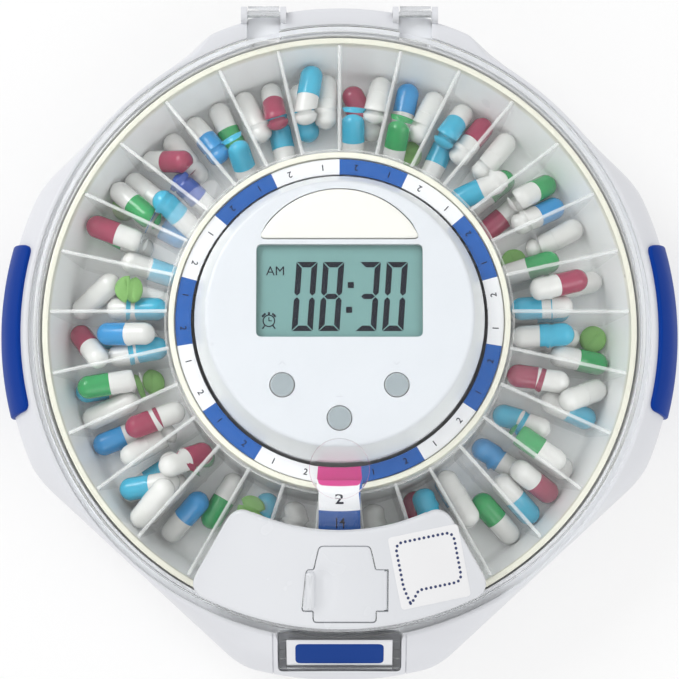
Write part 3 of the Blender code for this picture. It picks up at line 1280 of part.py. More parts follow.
# Display head
def add_head():
    skirt_bottom = BOARD_BOTTOM
    face = HEAD_TOP
    outer = [
        (0.0, face),
        (HEAD_FACE_RADIUS - HEAD_EDGE, face),
        (HEAD_FACE_RADIUS, face - HEAD_EDGE),
        (COLUMN_RADIUS, skirt_bottom + HEAD_SKIRT),
        (COLUMN_RADIUS, skirt_bottom),
    ]
    inner = [
        (COLUMN_RADIUS - HEAD_WALL, skirt_bottom),
        (COLUMN_RADIUS - HEAD_WALL, skirt_bottom + HEAD_SKIRT),
        (HEAD_FACE_RADIUS - HEAD_WALL, face - HEAD_WALL),
        (0.0, face - HEAD_WALL),
    ]
    cover = part("head_cover", turned("head_cover", outer + inner, ring=False), WHITE)
    roof = face - HEAD_WALL
    window_half = [(side / 2 + GAP) for side in WINDOW_SIZE]
    arch = alarm_outline()
    cuts = [
        block(
            "lcd_hole",
            (-window_half[0], window_half[0]),
            (WINDOW_Y - window_half[1], WINDOW_Y + window_half[1]),
            (roof - OVERRUN, face + OVERRUN),
        ),
        plate("alarm_hole", grown(arch, GAP), roof - OVERRUN, face + OVERRUN),
    ]
    for x, y in BUTTON_SPOTS.values():
        ends = (x, y, roof - OVERRUN), (x, y, face + OVERRUN)
        cuts.append(rod("button_hole", *ends, BUTTON_RADIUS + GAP, 20))
    combine(cover, tool("head_cuts", joined("head_cuts", cuts)))
    smooth(cover)

    half_x, half_y = (side / 2 for side in WINDOW_SIZE)
    window_top = face - WINDOW_DROP
    window_z = (window_top - WINDOW_THICKNESS, window_top)
    window = block("lcd_window", (-half_x, half_x), (WINDOW_Y - half_y, WINDOW_Y + half_y), window_z)
    part("lcd_window", window, CLEAR)
    panel_top = roof - GAP
    panel_x, panel_y = (side / 2 for side in PANEL_SIZE)
    panel_bottom = panel_top - PANEL_THICKNESS
    panel_span = (WINDOW_Y - panel_y, WINDOW_Y + panel_y)
    panel = block("lcd_panel", (-panel_x, panel_x), panel_span, (panel_bottom, panel_top))
    part("lcd_panel", panel, LCD_GREEN)
    frame = block(
        "lcd_frame",
        (-panel_x, panel_x),
        (WINDOW_Y - panel_y, WINDOW_Y + panel_y),
        (BOARD_TOP + GAP, panel_bottom - GAP),
    )
    frame = part("lcd_frame", frame, INNER_WHITE)
    inside = block(
        "lcd_frame_inside",
        (-panel_x + FRAME_WALL, panel_x - FRAME_WALL),
        (WINDOW_Y - panel_y + FRAME_WALL, WINDOW_Y + panel_y - FRAME_WALL),
        (BOARD_BOTTOM, HEAD_TOP),
    )
    combine(frame, tool("lcd_frame_inside", inside))

    lens_top = face + ALARM_PROUD
    part("alarm_lens", plate("alarm_lens", arch, lens_top - ALARM_THICKNESS, lens_top), CREAM)
    low = BOARD_TOP + GAP
    half_x = LED_SPREAD + 2 * LED_RADIUS
    half_y = LED_RADIUS + LED_STRIP
    span_y = (LED_Y - half_y, LED_Y + half_y)
    strip = block("alarm_leds", (-half_x, half_x), span_y, (low, low + LED_STRIP))
    strip = part("alarm_leds", strip, RED)
    leds = []
    for i in (-1, 0, 1):
        profile = [
            (0.0, low + LED_HEIGHT),
            (LED_RADIUS * cos(pi / 4), low + LED_HEIGHT - LED_RADIUS * (1 - sin(pi / 4))),
            (LED_RADIUS, low + LED_HEIGHT - LED_RADIUS),
            (LED_RADIUS, low + LED_STRIP / 2),
            (0.0, low + LED_STRIP / 2),
        ]
        leds.append(moved(turned("led", profile, 12, ring=False), (i * LED_SPREAD, LED_Y, 0.0)))
    combine(strip, tool("led_domes", joined("led_domes", leds)), "UNION")
    smooth(strip)

    board = rod("main_board", (0, 0, BOARD_BOTTOM), (0, 0, BOARD_TOP), BOARD_RADIUS, 48)
    part("main_board", board, GREEN)
    for key, (x, y) in BUTTON_SPOTS.items():
        half = SWITCH_SIDE / 2
        low = BOARD_TOP + GAP
        name = f"tact_switch_{key}"
        case = block(name, (x - half, x + half), (y - half, y + half), (low, low + SWITCH_HEIGHT))
        part(name, case, BLACK)
        rest = low + SWITCH_HEIGHT + BUTTON_TRAVEL + GAP
        top = face + BUTTON_PROUD
        flange_top = roof - GAP
        profile = [
            (0.0, top),
            (BUTTON_RADIUS - BUTTON_EDGE, top),
            (BUTTON_RADIUS, top - BUTTON_EDGE),
            (BUTTON_RADIUS, flange_top),
            (BUTTON_FLANGE, flange_top),
            (BUTTON_FLANGE, flange_top - BUTTON_FLANGE_HEIGHT),
            (BUTTON_STEM, flange_top - BUTTON_FLANGE_HEIGHT),
            (BUTTON_STEM, rest),
            (0.0, rest),
        ]
        slide = pivot(f"button_{key}_slide", (x, y, roof))
        button = turned(f"button_{key}", profile, 20, ring=False)
        smooth(part(f"button_{key}", button, GREY, slide, (x, y, 0.0)))
    x, y = BUZZER_SPOT
    low = BOARD_TOP + GAP
    can = rod("buzzer", (x, y, low), (x, y, low + BUZZER_HEIGHT), BUZZER_RADIUS, 20)
    smooth(part("buzzer", can, BLACK))


def alarm_outline():
    """Flat below, with one arc over the top, counterclockwise."""
    rise = ALARM_TOP - ALARM_BOTTOM
    radius = (ALARM_HALF_WIDTH**2 + rise**2) / (2 * rise)
    centre = ALARM_TOP - radius
    start = atan2(ALARM_BOTTOM - centre, ALARM_HALF_WIDTH)
    count = ALARM_ARC_POINTS
    angles = [start + (pi - 2 * start) * i / count for i in range(count + 1)]
    return [(radius * cos(angle), centre + radius * sin(angle)) for angle in angles]


# Lid
def slope_height(radius, lift=0.0):
    """Height of the lid's sloping outside at a radius, or of a line that lies above it by a lift."""
    run = (LID_SLOPE_RADIUS - radius) / (LID_SLOPE_RADIUS - LID_STEP_RADIUS)
    return LID_SLOPE_HEIGHT + (LID_STEP_HEIGHT - LID_SLOPE_HEIGHT) * run + lift / cos(LID_SLOPE)


def lid_profile():
    """Outside from the crown down to the flange, then the inside back up."""
    wall = LID_WALL
    outside = [(0.0, LID_TOP)]
    outside += [(radius, LID_TOP - drop) for radius, drop in sorted(zip(DOME_RADII, DOME_DROPS))]
    outside += [
        (LID_STEP_RADIUS - LID_STEP_WIDTH, LID_STEP_HEIGHT + LID_STEP_RISE),
        (LID_STEP_RADIUS, LID_STEP_HEIGHT),
        (LID_SLOPE_RADIUS, LID_SLOPE_HEIGHT),
        (LID_WALL_RADIUS, LID_WALL_HEIGHT),
        (LID_WALL_RADIUS, LID_SEAT + LID_FLANGE_THICKNESS),
        (LID_FLANGE_RADIUS, LID_SEAT + LID_FLANGE_THICKNESS),
        (LID_FLANGE_RADIUS, LID_SEAT),
    ]
    inside = [
        (LID_WALL_RADIUS - wall, LID_SEAT),
        (LID_WALL_RADIUS - wall, LID_WALL_HEIGHT - wall / 2),
        (LID_STEP_RADIUS - wall, LID_STEP_HEIGHT + (wall * sin(LID_SLOPE) - wall) * cos(LID_SLOPE)),
    ]
    dome = sorted(zip(DOME_RADII, DOME_DROPS), reverse=True)
    inside += [(radius, LID_TOP - drop - wall) for radius, drop in dome]
    return outside + inside + [(0.0, LID_TOP - wall)]


def tongue_line(drop):
    """(y, z) points down the tongue's top, or below it by a drop."""
    start_y = -LID_WALL_RADIUS + LID_WALL
    start_z = LID_SEAT + LID_FLANGE_THICKNESS
    lean = TONGUE_SLOPE
    return [
        (start_y, start_z - drop),
        (-TONGUE_KNEE_REACH + drop * tan(lean / 2), TONGUE_KNEE_HEIGHT - drop),
        (-TONGUE_REACH + drop * sin(lean), TONGUE_END_HEIGHT - drop * cos(lean)),
    ]


def tongue_top(reach):
    """Height of the tongue's top at a distance in front of the tray axis."""
    return TONGUE_KNEE_HEIGHT - max(reach - TONGUE_KNEE_REACH, 0.0) * tan(TONGUE_SLOPE)


def add_lid():
    hinge = pivot("lid_hinge", (0.0, HINGE_Y, HINGE_HEIGHT))
    lid = part("lid_shell", turned("lid_shell", lid_profile(), ring=False), CLEAR, hinge)

    top = tongue_line(0.0)
    under = tongue_line(TONGUE_WALL)
    tongue = side_plate("tongue", top + under[::-1], -TONGUE_HALF_WIDTH, TONGUE_HALF_WIDTH)
    combine(lid, tool("tongue", tongue), "UNION")
    tabs = []
    for side in (-1, 1):
        outline = [(TAB_ROOT, LID_SEAT)]
        outline += [
            (HINGE_Y + TAB_RADIUS * cos(angle), HINGE_HEIGHT + TAB_RADIUS * sin(angle))
            for angle in (-pi / 2 + pi * i / 8 for i in range(9))
        ]
        outline += [(TAB_ROOT, TAB_ROOT_HEIGHT)]
        low, high = sorted((side * TAB_INNER, side * TAB_OUTER))
        tabs.append(side_plate("tab", outline, low, high))
    combine(lid, tool("tabs", joined("tabs", tabs)), "UNION")
    legs = []
    for side in (-1, 1):
        outer = TONGUE_HALF_WIDTH - GAP / 2
        legs.append(
            block(
                "leg",
                (side * outer, side * (outer - LEG_THICKNESS)),
                (-LEG_SPAN[1], -LEG_SPAN[0]),
                (TONGUE_KNEE_HEIGHT - TONGUE_WALL - LEG_DEPTH, tongue_top(LEG_SPAN[1]) - TONGUE_WALL / 2),
            )
        )

    bar = TONGUE_HALF_WIDTH - TONGUE_SIDE_BAR
    window_y = (-TONGUE_REACH + TONGUE_END_BAR, -RELEASE_BACK + GAP)
    cuts = [
        block("tongue_window", (-bar, bar), window_y, (RECESS_FLOOR, LID_TOP)),
        block(
            "hatch_hole",
            (DOOR_X - DOOR_SHOULDER_HALF + HATCH_MARGIN, DOOR_X + DOOR_SHOULDER_HALF - HATCH_MARGIN),
            (-DOOR_BOTTOM + HATCH_MARGIN, -DOOR_TOP - HATCH_MARGIN),
            (SEAT_HEIGHT, LID_TOP),
        ),
    ]
    for side in (-1, 1):
        start = (side * (TAB_INNER - OVERRUN), HINGE_Y, HINGE_HEIGHT)
        end = (side * (TAB_OUTER + OVERRUN), HINGE_Y, HINGE_HEIGHT)
        cuts.append(rod("tab_hole", start, end, PIN_RADIUS + PIN_SOCKET, 12))
    lens_middle, lens_normal = lens_seat()
    reach = LENS_EDGE + 2 * LENS_CROWN + LID_WALL
    ends = lens_middle - lens_normal * reach, lens_middle + lens_normal * reach
    cuts.append(rod("lens_hole", *ends, LENS_RADIUS + GAP, 32))
    combine(lid, tool("lid_cuts", joined("lid_cuts", cuts)))
    combine(lid, tool("latch_legs", joined("latch_legs", legs)), "UNION")
    smooth(lid, radians(20.0))

    profile = [
        (0.0, LENS_CROWN),
        (LENS_RADIUS * cos(pi / 4), LENS_CROWN * (1 - cos(pi / 4) ** 2)),
        (LENS_RADIUS - LENS_BAND, LENS_CROWN / 4),
        (LENS_RADIUS, LENS_CROWN / 4),
        (LENS_RADIUS, -LENS_EDGE),
        (0.0, -LENS_EDGE),
    ]
    bead = turned("magnifier_lens", profile, 32, ring=False)
    lens = part("magnifier_lens", bead, CLEAR, hinge, lens_middle)
    lens.rotation_euler = lens_normal.to_track_quat("Z", "Y").to_euler()
    smooth(lens)

    for side, name in ((-1, "hinge_pin_left"), (1, "hinge_pin_right")):
        start = (side * (TAB_INNER - TAB_CLEARANCE - HINGE_EAR), HINGE_Y, HINGE_HEIGHT)
        end = (side * (TAB_OUTER + TAB_CLEARANCE + HINGE_EAR), HINGE_Y, HINGE_HEIGHT)
        smooth(part(name, rod(name, start, end, PIN_RADIUS, 12), STEEL))
    return hinge


def lens_seat():
    """The middle of the lens on the lid's outside, and the way that it faces."""
    radii, drops = zip(*sorted(zip(DOME_RADII, DOME_DROPS)))
    i = next(k for k in range(1, len(radii)) if radii[k] > -LENS_Y)
    rise = (drops[i] - drops[i - 1]) / (radii[i] - radii[i - 1])
    height = LID_TOP - drops[i - 1] - rise * (-LENS_Y - radii[i - 1])
    return Vector((0.0, LENS_Y, height)), Vector((0.0, -rise, 1.0)).normalized()


def plate_shell(low, high):
    """A band that lies over the lid's slope, between two lifts above it."""
    near = PLATE_INNER - PLATE_THICKNESS
    far = PLATE_OUTER + PLATE_THICKNESS
    profile = [
        (near, slope_height(near, high)),
        (far, slope_height(far, high)),
        (far, slope_height(far, low)),
        (near, slope_height(near, low)),
    ]
    return turned("plate_shell", profile, 72)


def arc(radius, start, end, count):
    """Points along an arc whose angles are measured from the front, to the right."""
    angles = [start + (end - start) * i / count for i in range(count + 1)]
    return [(radius * sin(angle), -radius * cos(angle)) for angle in angles]


def door_outline():
    """The hatch door seen from above, counterclockwise from its upper left corner, with its two ears."""
    left = [
        (-DOOR_TOP_HALF, -DOOR_TOP),
        (-DOOR_SHOULDER_HALF, -DOOR_SHOULDER),
        (-DOOR_EAR_HALF, -DOOR_SHOULDER),
        (-DOOR_EAR_LOW_HALF, -DOOR_EAR_END),
        (-DOOR_BOTTOM_HALF, -DOOR_EAR_END),
        (-DOOR_BOTTOM_HALF, -DOOR_BOTTOM),
    ]
    hinge_side = DOOR_HINGE_OFFSET
    right = [
        (DOOR_BOTTOM_HALF, -DOOR_BOTTOM),
        (DOOR_BOTTOM_HALF, -DOOR_EAR_END),
        (hinge_side, -DOOR_EAR_END),
        (hinge_side, -DOOR_SHOULDER),
        (DOOR_SHOULDER_HALF, -DOOR_SHOULDER),
        (DOOR_TOP_HALF, -DOOR_TOP),
    ]
    return [(DOOR_X + x, y) for x, y in left + right]


def slope_tool(name, mesh, x=0.0):
    """A hidden shape drawn flat, laid on the lid's slope with its middle level with the door's hinge."""
    obj = tool(name, mesh, (x, DOOR_HINGE_Y, slope_height(DOOR_HINGE_RADIUS)))
    obj.rotation_euler = (LID_SLOPE, 0.0, 0.0)
    return obj


def add_hatch(hinge):
    low = GAP
    high = GAP + PLATE_THICKNESS
    mid = (low + high) / 2
    knuckle = PLATE_THICKNESS / 2
    corners = [
        *arc(PLATE_OUTER, -PLATE_OUTER_ANGLE, PLATE_OUTER_ANGLE, 16),
        *arc(PLATE_INNER, PLATE_INNER_ANGLE, -PLATE_INNER_ANGLE, 12),
    ]
    fan = [Vector(point) for point in corners]
    plate_part = part("hatch_plate", plate_shell(low, high), WHITE, hinge)
    combine(plate_part, tool("fan", plate("fan", softened(fan), SEAT_HEIGHT, LID_TOP)), "INTERSECT")
    opening = [(x, (y - DOOR_HINGE_Y) / cos(LID_SLOPE)) for x, y in door_outline()]
    reach = DOOR_CUT_REACH
    half = (DOOR_EAR_END - DOOR_SHOULDER) / 2 / cos(LID_SLOPE)
    combine(plate_part, slope_tool("door_room", plate("door_room", grown(opening, GAP), -reach, reach)))
    room_y = (-half - GAP, half + GAP)
    knuckle_room = block("knuckle_room", (-knuckle, knuckle + GAP), room_y, (-reach, reach))
    combine(plate_part, slope_tool("knuckle_room", knuckle_room, DOOR_HINGE_X))
    smooth(plate_part, radians(25.0))

    base_z = slope_height(DOOR_HINGE_RADIUS)
    hinge_y = DOOR_HINGE_Y - mid * sin(LID_SLOPE)
    door_hinge = pivot("hatch_hinge", (DOOR_HINGE_X, hinge_y, base_z + mid * cos(LID_SLOPE)))
    door = part("hatch_door", plate_shell(low, high), WHITE, door_hinge)
    combine(door, slope_tool("door_shape", plate("door_shape", opening, -reach, reach)), "INTERSECT")
    barrel = rod("knuckle", (0.0, -half + GAP, mid), (0.0, half - GAP, mid), knuckle, 12)
    combine(door, slope_tool("knuckle", barrel, DOOR_HINGE_X), "UNION")
    ridge_x = DOOR_X - RIDGE_OFFSET
    ridge_half = half - 2 * GAP
    ridge = block(
        "ridge",
        (-RIDGE_WIDTH / 2, RIDGE_WIDTH / 2),
        (-ridge_half, ridge_half),
        (mid, high + RIDGE_HEIGHT),
    )
    combine(door, slope_tool("ridge", ridge, ridge_x), "UNION")
    smooth(door, radians(25.0))


def softened(fan):
    """The fan with its four corners rounded: the points near a corner give way to an arc."""
    count = len(fan)
    turns = []
    for i in range(count):
        before = fan[i] - fan[i - 1]
        after = fan[(i + 1) % count] - fan[i]
        turns.append(before.angle(after))
    sharp = sorted(range(count), key=lambda i: -turns[i])[:4]
    made = []
    for i in range(count):
        near = [k for k in sharp if k != i and (fan[k] - fan[i]).length < PLATE_CORNER]
        if i in sharp:
            before = (fan[i - 1] - fan[i]).normalized()
            after = (fan[(i + 1) % count] - fan[i]).normalized()
            start = fan[i] + before * PLATE_CORNER
            end = fan[i] + after * PLATE_CORNER
            for step in range(6):
                t = step / 5
                made.append(tuple(start * (1 - t) ** 2 + fan[i] * (2 * t * (1 - t)) + end * t**2))
        elif not near:
            made.append(tuple(fan[i]))
    return made


# Release button and lock
def add_release():
    slide = pivot("release_slide", (0.0, -(RELEASE_BACK + TONGUE_REACH) / 2, RECESS_FLOOR))
    drop = RELEASE_DROP
    front = -TONGUE_REACH + TONGUE_END_BAR + GAP
    back = -RELEASE_BACK
    bottom = RECESS_FLOOR + RELEASE_TRAVEL + GAP
    outline = [
        (front, bottom),
        (back, bottom),
        (back, tongue_top(-back) - drop),
        (-TONGUE_KNEE_REACH, TONGUE_KNEE_HEIGHT - drop),
        (front, tongue_top(-front) - drop),
    ]
    half = RELEASE_HALF_WIDTH
    button = part("release_button", side_plate("release_button", outline, -half, half), BLUE, slide)
    hollow = block(
        "release_hollow",
        (-half + RELEASE_WALL, half - RELEASE_WALL),
        (front + RELEASE_WALL, back - RELEASE_WALL),
        (RECESS_FLOOR, RELEASE_POCKET - RELEASE_WALL),
    )
    combine(button, tool("release_hollow", hollow))
    middle = (front + back) / 2
    low = RECESS_FLOOR + GAP + RELEASE_SPRING_WIRE
    high = RELEASE_POCKET - RELEASE_WALL - GAP - RELEASE_SPRING_WIRE
    radius = RELEASE_SPRING_RADIUS
    points = list(coil((0.0, middle, low), high - low, radius, radius, RELEASE_SPRING_TURNS))
    part("release_spring", wire("release_spring", points, RELEASE_SPRING_WIRE, 1), STEEL)


def lock_turned(name, profile, sides, tone, carrier=None):
    """A shape turned about the lock's axis: heights of its profile run forward from the lock's back."""
    mesh = swung(turned(name, profile, sides, ring=profile[0][0] > 0), ((1, 0, 0), (0, 0, 1), (0, -1, 0)))
    mesh = moved(mesh, (0.0, -LOCK_BACK, LOCK_HEIGHT))
    return part(name, mesh, tone, carrier)


def add_lock():
    length = LOCK_BOSS[2] - LOCK_BACK
    flange_radius, flange_depth = LOCK_FLANGE
    bore = LOCK_CYLINDER_RADIUS + GAP
    start = CAM_THICKNESS + GAP
    face = length + GAP + flange_depth
    profile = [
        (flange_radius, face),
        (flange_radius, length + GAP),
        (LOCK_RADIUS, length + GAP),
        (LOCK_RADIUS, start),
        (bore, start),
        (bore, face),
    ]
    smooth(lock_turned("lock_barrel", profile, 20, STEEL))
    nut_front = -(LOCK_BOSS[1] - GAP)
    at = (0.0, nut_front, LOCK_HEIGHT)
    far = (0.0, nut_front + NUT_THICKNESS, LOCK_HEIGHT)
    nut = part("lock_nut", rod("lock_nut", at, far, NUT_RADIUS, 6), STEEL)
    bore_start = (0.0, nut_front - OVERRUN, LOCK_HEIGHT)
    bore_end = (0.0, nut_front + NUT_THICKNESS + OVERRUN, LOCK_HEIGHT)
    combine(nut, tool("nut_bore", rod("nut_bore", bore_start, bore_end, LOCK_RADIUS + GAP, 20)))

    lock_axis = pivot("lock_axis", (0.0, -LOCK_BACK, LOCK_HEIGHT))
    profile = [(0.0, face), (LOCK_CYLINDER_RADIUS, face), (LOCK_CYLINDER_RADIUS, start), (0.0, start)]
    cylinder = lock_turned("lock_cylinder", profile, 16, BRASS, lock_axis)
    keyway = block(
        "keyway",
        (-KEYWAY[0] / 2, KEYWAY[0] / 2),
        (-LOCK_BACK - face - OVERRUN, -LOCK_BACK - face + KEYWAY[2]),
        (LOCK_HEIGHT - KEYWAY[1] / 2, LOCK_HEIGHT + KEYWAY[1] / 2),
    )
    combine(cylinder, tool("keyway", keyway))
    cam = block(
        "lock_cam",
        (-CAM_WIDTH / 2, CAM_LENGTH),
        (-LOCK_BACK - CAM_THICKNESS, -LOCK_BACK),
        (LOCK_HEIGHT - CAM_WIDTH / 2, LOCK_HEIGHT + CAM_WIDTH / 2),
    )
    part("lock_cam", cam, STEEL, lock_axis)


add_housing()
add_bottom_pan()
add_grips()
add_battery_bay()
tray_carrier = add_drive()
add_tray(tray_carrier)
add_head()
lid_carrier = add_lid()
add_hatch(lid_carrier)
add_release()
add_lock()
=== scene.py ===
"""Looks of the electronic pill box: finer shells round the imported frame, with its prints, pills and finishes.

Lengths are metres. Shapes are drawn round the tray's axis, X to the right, Y to the rear and Z up from the
table, and every mesh is then moved to the frame's origin.
"""

from math import atan2, cos, pi, radians, sin, sqrt, tan, tau

import bmesh
import bpy
import numpy as np
from mathutils import Matrix, Vector


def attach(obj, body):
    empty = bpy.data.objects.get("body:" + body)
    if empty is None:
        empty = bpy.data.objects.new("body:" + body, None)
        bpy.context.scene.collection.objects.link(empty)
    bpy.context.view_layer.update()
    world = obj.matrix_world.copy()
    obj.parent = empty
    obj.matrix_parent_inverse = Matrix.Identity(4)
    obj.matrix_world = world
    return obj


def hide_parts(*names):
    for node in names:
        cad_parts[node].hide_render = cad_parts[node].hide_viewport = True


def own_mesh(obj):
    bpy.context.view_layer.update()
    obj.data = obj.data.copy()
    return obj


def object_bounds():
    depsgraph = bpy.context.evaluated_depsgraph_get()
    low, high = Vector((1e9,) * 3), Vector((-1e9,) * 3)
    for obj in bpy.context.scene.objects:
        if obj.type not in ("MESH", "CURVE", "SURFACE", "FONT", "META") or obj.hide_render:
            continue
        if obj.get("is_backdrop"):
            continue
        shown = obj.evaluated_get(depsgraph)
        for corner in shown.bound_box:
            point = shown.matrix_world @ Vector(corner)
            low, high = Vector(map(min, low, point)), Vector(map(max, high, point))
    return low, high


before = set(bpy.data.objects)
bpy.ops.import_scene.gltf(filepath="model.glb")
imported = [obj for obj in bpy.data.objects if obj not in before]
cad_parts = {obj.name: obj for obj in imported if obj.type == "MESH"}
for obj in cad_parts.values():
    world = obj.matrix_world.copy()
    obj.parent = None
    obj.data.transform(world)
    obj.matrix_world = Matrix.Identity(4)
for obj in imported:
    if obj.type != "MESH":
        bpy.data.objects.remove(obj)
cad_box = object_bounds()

# Driving sizes, as in the part's source
AXIS_Y = 0.0023
GAP = 0.0003
FRONT_REACH = 0.1060
REAR_REACH = 0.1014
SIDE_REACH = 0.1024
FRONT_FLANK_REACH = 0.0952
REAR_FLANK_REACH = 0.0960
FLANK_ANGLE = radians(47.5)
CORNER_BLEND = 0.0025
FOOT_INSET = 0.0076
LEAST_FOOT_REACH = 0.0904
WAIST_INSET = 0.0026
RIM_REACH = 0.0956
RIM_HEIGHT = 0.0310
REAR_RIM_REACH = 0.0993
REAR_RIM_ANGLE = radians(23.0)
REAR_RIM_FADE = radians(6.0)
SHOULDER_SHARE = 0.66
WALL = 0.0018
RECESS_RADIUS = 0.0943
SEAT_HEIGHT = 0.0292
WELL_RADIUS = 0.0909
WELL_FLOOR_RADIUS = 0.0865
WELL_FLOOR = 0.0060
COLUMN_RADIUS = 0.0432
COLUMN_TOP = 0.0438
POCKETS = 29
HUB_RADIUS = 0.0510
HUB_INNER = 0.0493
HUB_TOP = 0.0440
TRAY_RADIUS = 0.0900
TRAY_INNER = 0.0882
TRAY_RIM_HEIGHT = 0.0300
TRAY_BOTTOM = 0.0063
TRAY_FLOOR_TOP = 0.0078
TRAY_FLOOR_RADIUS = 0.0828
DIVIDER_HUB_HEIGHT = 0.0430
DIVIDER_RIM_HEIGHT = 0.0304
DOSE_RING_INNER = 0.0443
DOSE_RING_TOP = 0.0432
DOSE_TAB_REACH = 0.0640
DOSE_TAB_WIDTH = 0.0123
HEAD_TOP = 0.0560
HEAD_FACE_RADIUS = 0.0396
WINDOW_Y = 0.0067
WINDOW_SIZE = (0.0485, 0.0271)
LCD_TOP = 0.0539
ALARM_HALF_WIDTH = 0.0240
ALARM_BOTTOM = 0.0223
ALARM_TOP = 0.0371
BUTTON_SPOTS = {"left": (-0.0168, -0.0214), "middle": (0.0, -0.0312), "right": (0.0168, -0.0214)}
LID_TOP = 0.0605
LID_WALL = 0.0018
LID_SEAT = 0.0295
LID_FLANGE_RADIUS = 0.0938
LID_WALL_RADIUS = 0.0926
LID_WALL_HEIGHT = 0.0350
LID_SLOPE_RADIUS = 0.0918
LID_SLOPE_HEIGHT = 0.0358
LID_STEP_RADIUS = 0.0634
LID_STEP_HEIGHT = 0.0510
LID_SLOPE = atan2(LID_STEP_HEIGHT - LID_SLOPE_HEIGHT, LID_SLOPE_RADIUS - LID_STEP_RADIUS)
TONGUE_REACH = 0.1030
TONGUE_KNEE_REACH = 0.0952
TONGUE_KNEE_HEIGHT = 0.0318
TONGUE_END_HEIGHT = 0.0226
TONGUE_SLOPE = atan2(TONGUE_KNEE_HEIGHT - TONGUE_END_HEIGHT, TONGUE_REACH - TONGUE_KNEE_REACH)
TONGUE_HALF_WIDTH = 0.0180
RECESS_FLOOR = 0.0160
HINGE_Y = 0.0972
HINGE_HEIGHT = 0.0310
LENS_Y = -0.0464
LENS_RADIUS = 0.0088
PLATE_THICKNESS = 0.0016
DOOR_X = 0.0015
DOOR_HINGE_X = 0.0132

# Sizes of the openings and small parts. A room is its low and high X, then its low and high Y
CASE_FLOOR = 0.0016
COLLAR_RADIUS = 0.0480
COLLAR_TOP = 0.0084
COLUMN_MOUTH = 0.0380
GEAR_WINDOW = (-0.0154, 0.0154, 0.0378, 0.0438)
GEAR_WINDOW_HEIGHTS = (0.0201, 0.0244)
CAM_ROOM = (-0.0072, 0.0072, -0.0958, -0.0900)
CAM_ROOM_HEIGHTS = (0.0030, 0.0150)
LOCK_BOSS = (-0.0052, 0.0052, -0.1047, -0.0980)
LOCK_BOSS_HEIGHTS = (0.0063, 0.0150)
LOCK_HEIGHT = 0.0104
LOCK_HOLE_RADIUS = 0.0033
LOCK_HOLE_ENDS = (-0.1080, -0.0925)
RECESS = (-0.0185, 0.0185, -0.1035, -0.0915)
EAR_SPOTS = {"inner": 0.0164, "outer": 0.0285}
GROOVE_X = 0.0199
GROOVE_HALF_WIDTH = 0.00018
HINGE_TAB_X = 0.02335
HINGE_TAB_HALF_WIDTH = 0.00475
HINGE_TAB_FRONT = 0.0889
HINGE_NOTCH_HALF_WIDTH = 0.00515
HINGE_NOTCH_REAR = 0.1003
HINGE_NOTCH_FLOOR = 0.0276
KNUCKLE_RADIUS = 0.0027
EAR_THICKNESS = 0.0018
EAR_RADIUS = 0.0026
EAR_FOOT = 0.0240
PAN_BOTTOM = 0.0015
PAN_EDGE = 0.0058
PAN_CURL = 0.0029
PAN_WALL = 0.0018
BATTERY_ROOM = (-0.0327, 0.0327, -0.0295, 0.0295)
PAN_SCREW_X = 0.0362
PAN_SCREW_Y = 0.0090
FOOT_SPOT = 0.056
GRIP_HEIGHTS = (0.0095, 0.0298)
GRIP_HALF_TURN = radians(15.0)
TRAY_WALL_TOP = 0.0282
DIVIDER_SLOPE = (DIVIDER_RIM_HEIGHT - DIVIDER_HUB_HEIGHT) / (TRAY_INNER - HUB_RADIUS)
FIN_START = 0.0516
FIN_HALF = 0.0006
SLEEVE_RADII = (0.0513, 0.0523)
SLEEVE_HEIGHTS = (0.0081, 0.0422)
DOSE_RING_OUTER = 0.0490
DOSE_RING_THICKNESS = 0.0010
DOSE_DIGIT_RADIUS = 0.0467
DOSE_TAB_STEP = HUB_TOP + GAP
DOSE_TAB_THICKNESS = 0.0008
DOSE_TAB_KNEE = 0.0513
DOSE_TAB_BAND = 0.0572
DOSE_TAB_CORNER = 0.0009
DOSE_TAB_START = 0.0475
DOSE_TAB_HEEL = 0.0487
HEAD_SKIRT_TOP = 0.0461
HEAD_SKIRT_FOOT = 0.0441
HEAD_CUT = (0.0520, 0.0580)
WINDOW_FOOT = 0.0545
BUTTON_RADIUS = 0.0035
BUTTON_COLLAR_RADIUS = 0.0044
BUTTON_COLLAR = (0.0529, 0.0539)
BUTTON_STEM_RADIUS = 0.0020
BUTTON_STEM_FOOT = 0.0506
BUTTON_HOLE_RADIUS = 0.0037
ALARM_RISE = ALARM_TOP - ALARM_BOTTOM
ALARM_ARC = (ALARM_HALF_WIDTH**2 + ALARM_RISE**2) / (2 * ALARM_RISE)
ALARM_CENTRE = ALARM_TOP - ALARM_ARC
LID_FOOT = LID_SEAT + 0.0020
LID_CROWN_RADIUS = 0.0620
LID_LIP = (0.0627, 0.0516)
HINGE_TAB_TOP = 0.0344
LATCH_LEG_Y = (-0.0995, -0.0965)
LATCH_LEG_FOOT = 0.0190
LENS_BACK = -0.0020
HATCH_OPENING = (-0.0061, 0.0091, -0.0876, -0.0689)
FAN_RADII = (0.0913, 0.0636)
FAN_HALF_TURNS = (radians(29.5), radians(28.6))
FAN_BITE = 0.0055
PLATE_TOP = GAP + PLATE_THICKNESS
STICKER_PLACE = (0.0262, -0.0731)
STICKER_TURN = radians(12.0)
STICKER_HALF = 0.0104
STICKER_THICKNESS = 0.00008
DOT_RADIUS = 0.00043
DOT_PITCH = 0.00138
RELEASE_FRONT = -TONGUE_REACH + 0.0011 + GAP
RELEASE_TOP = TONGUE_KNEE_HEIGHT - GAP
RELEASE_FOOT = 0.0183
RELEASE_REAR = -0.0946
RELEASE_HALF_WIDTH = 0.0158
RELEASE_WALL = 0.0014
SPRING_Y = -0.0981
SPRING_TURNS = 4
SPRING_RADIUS = 0.0014
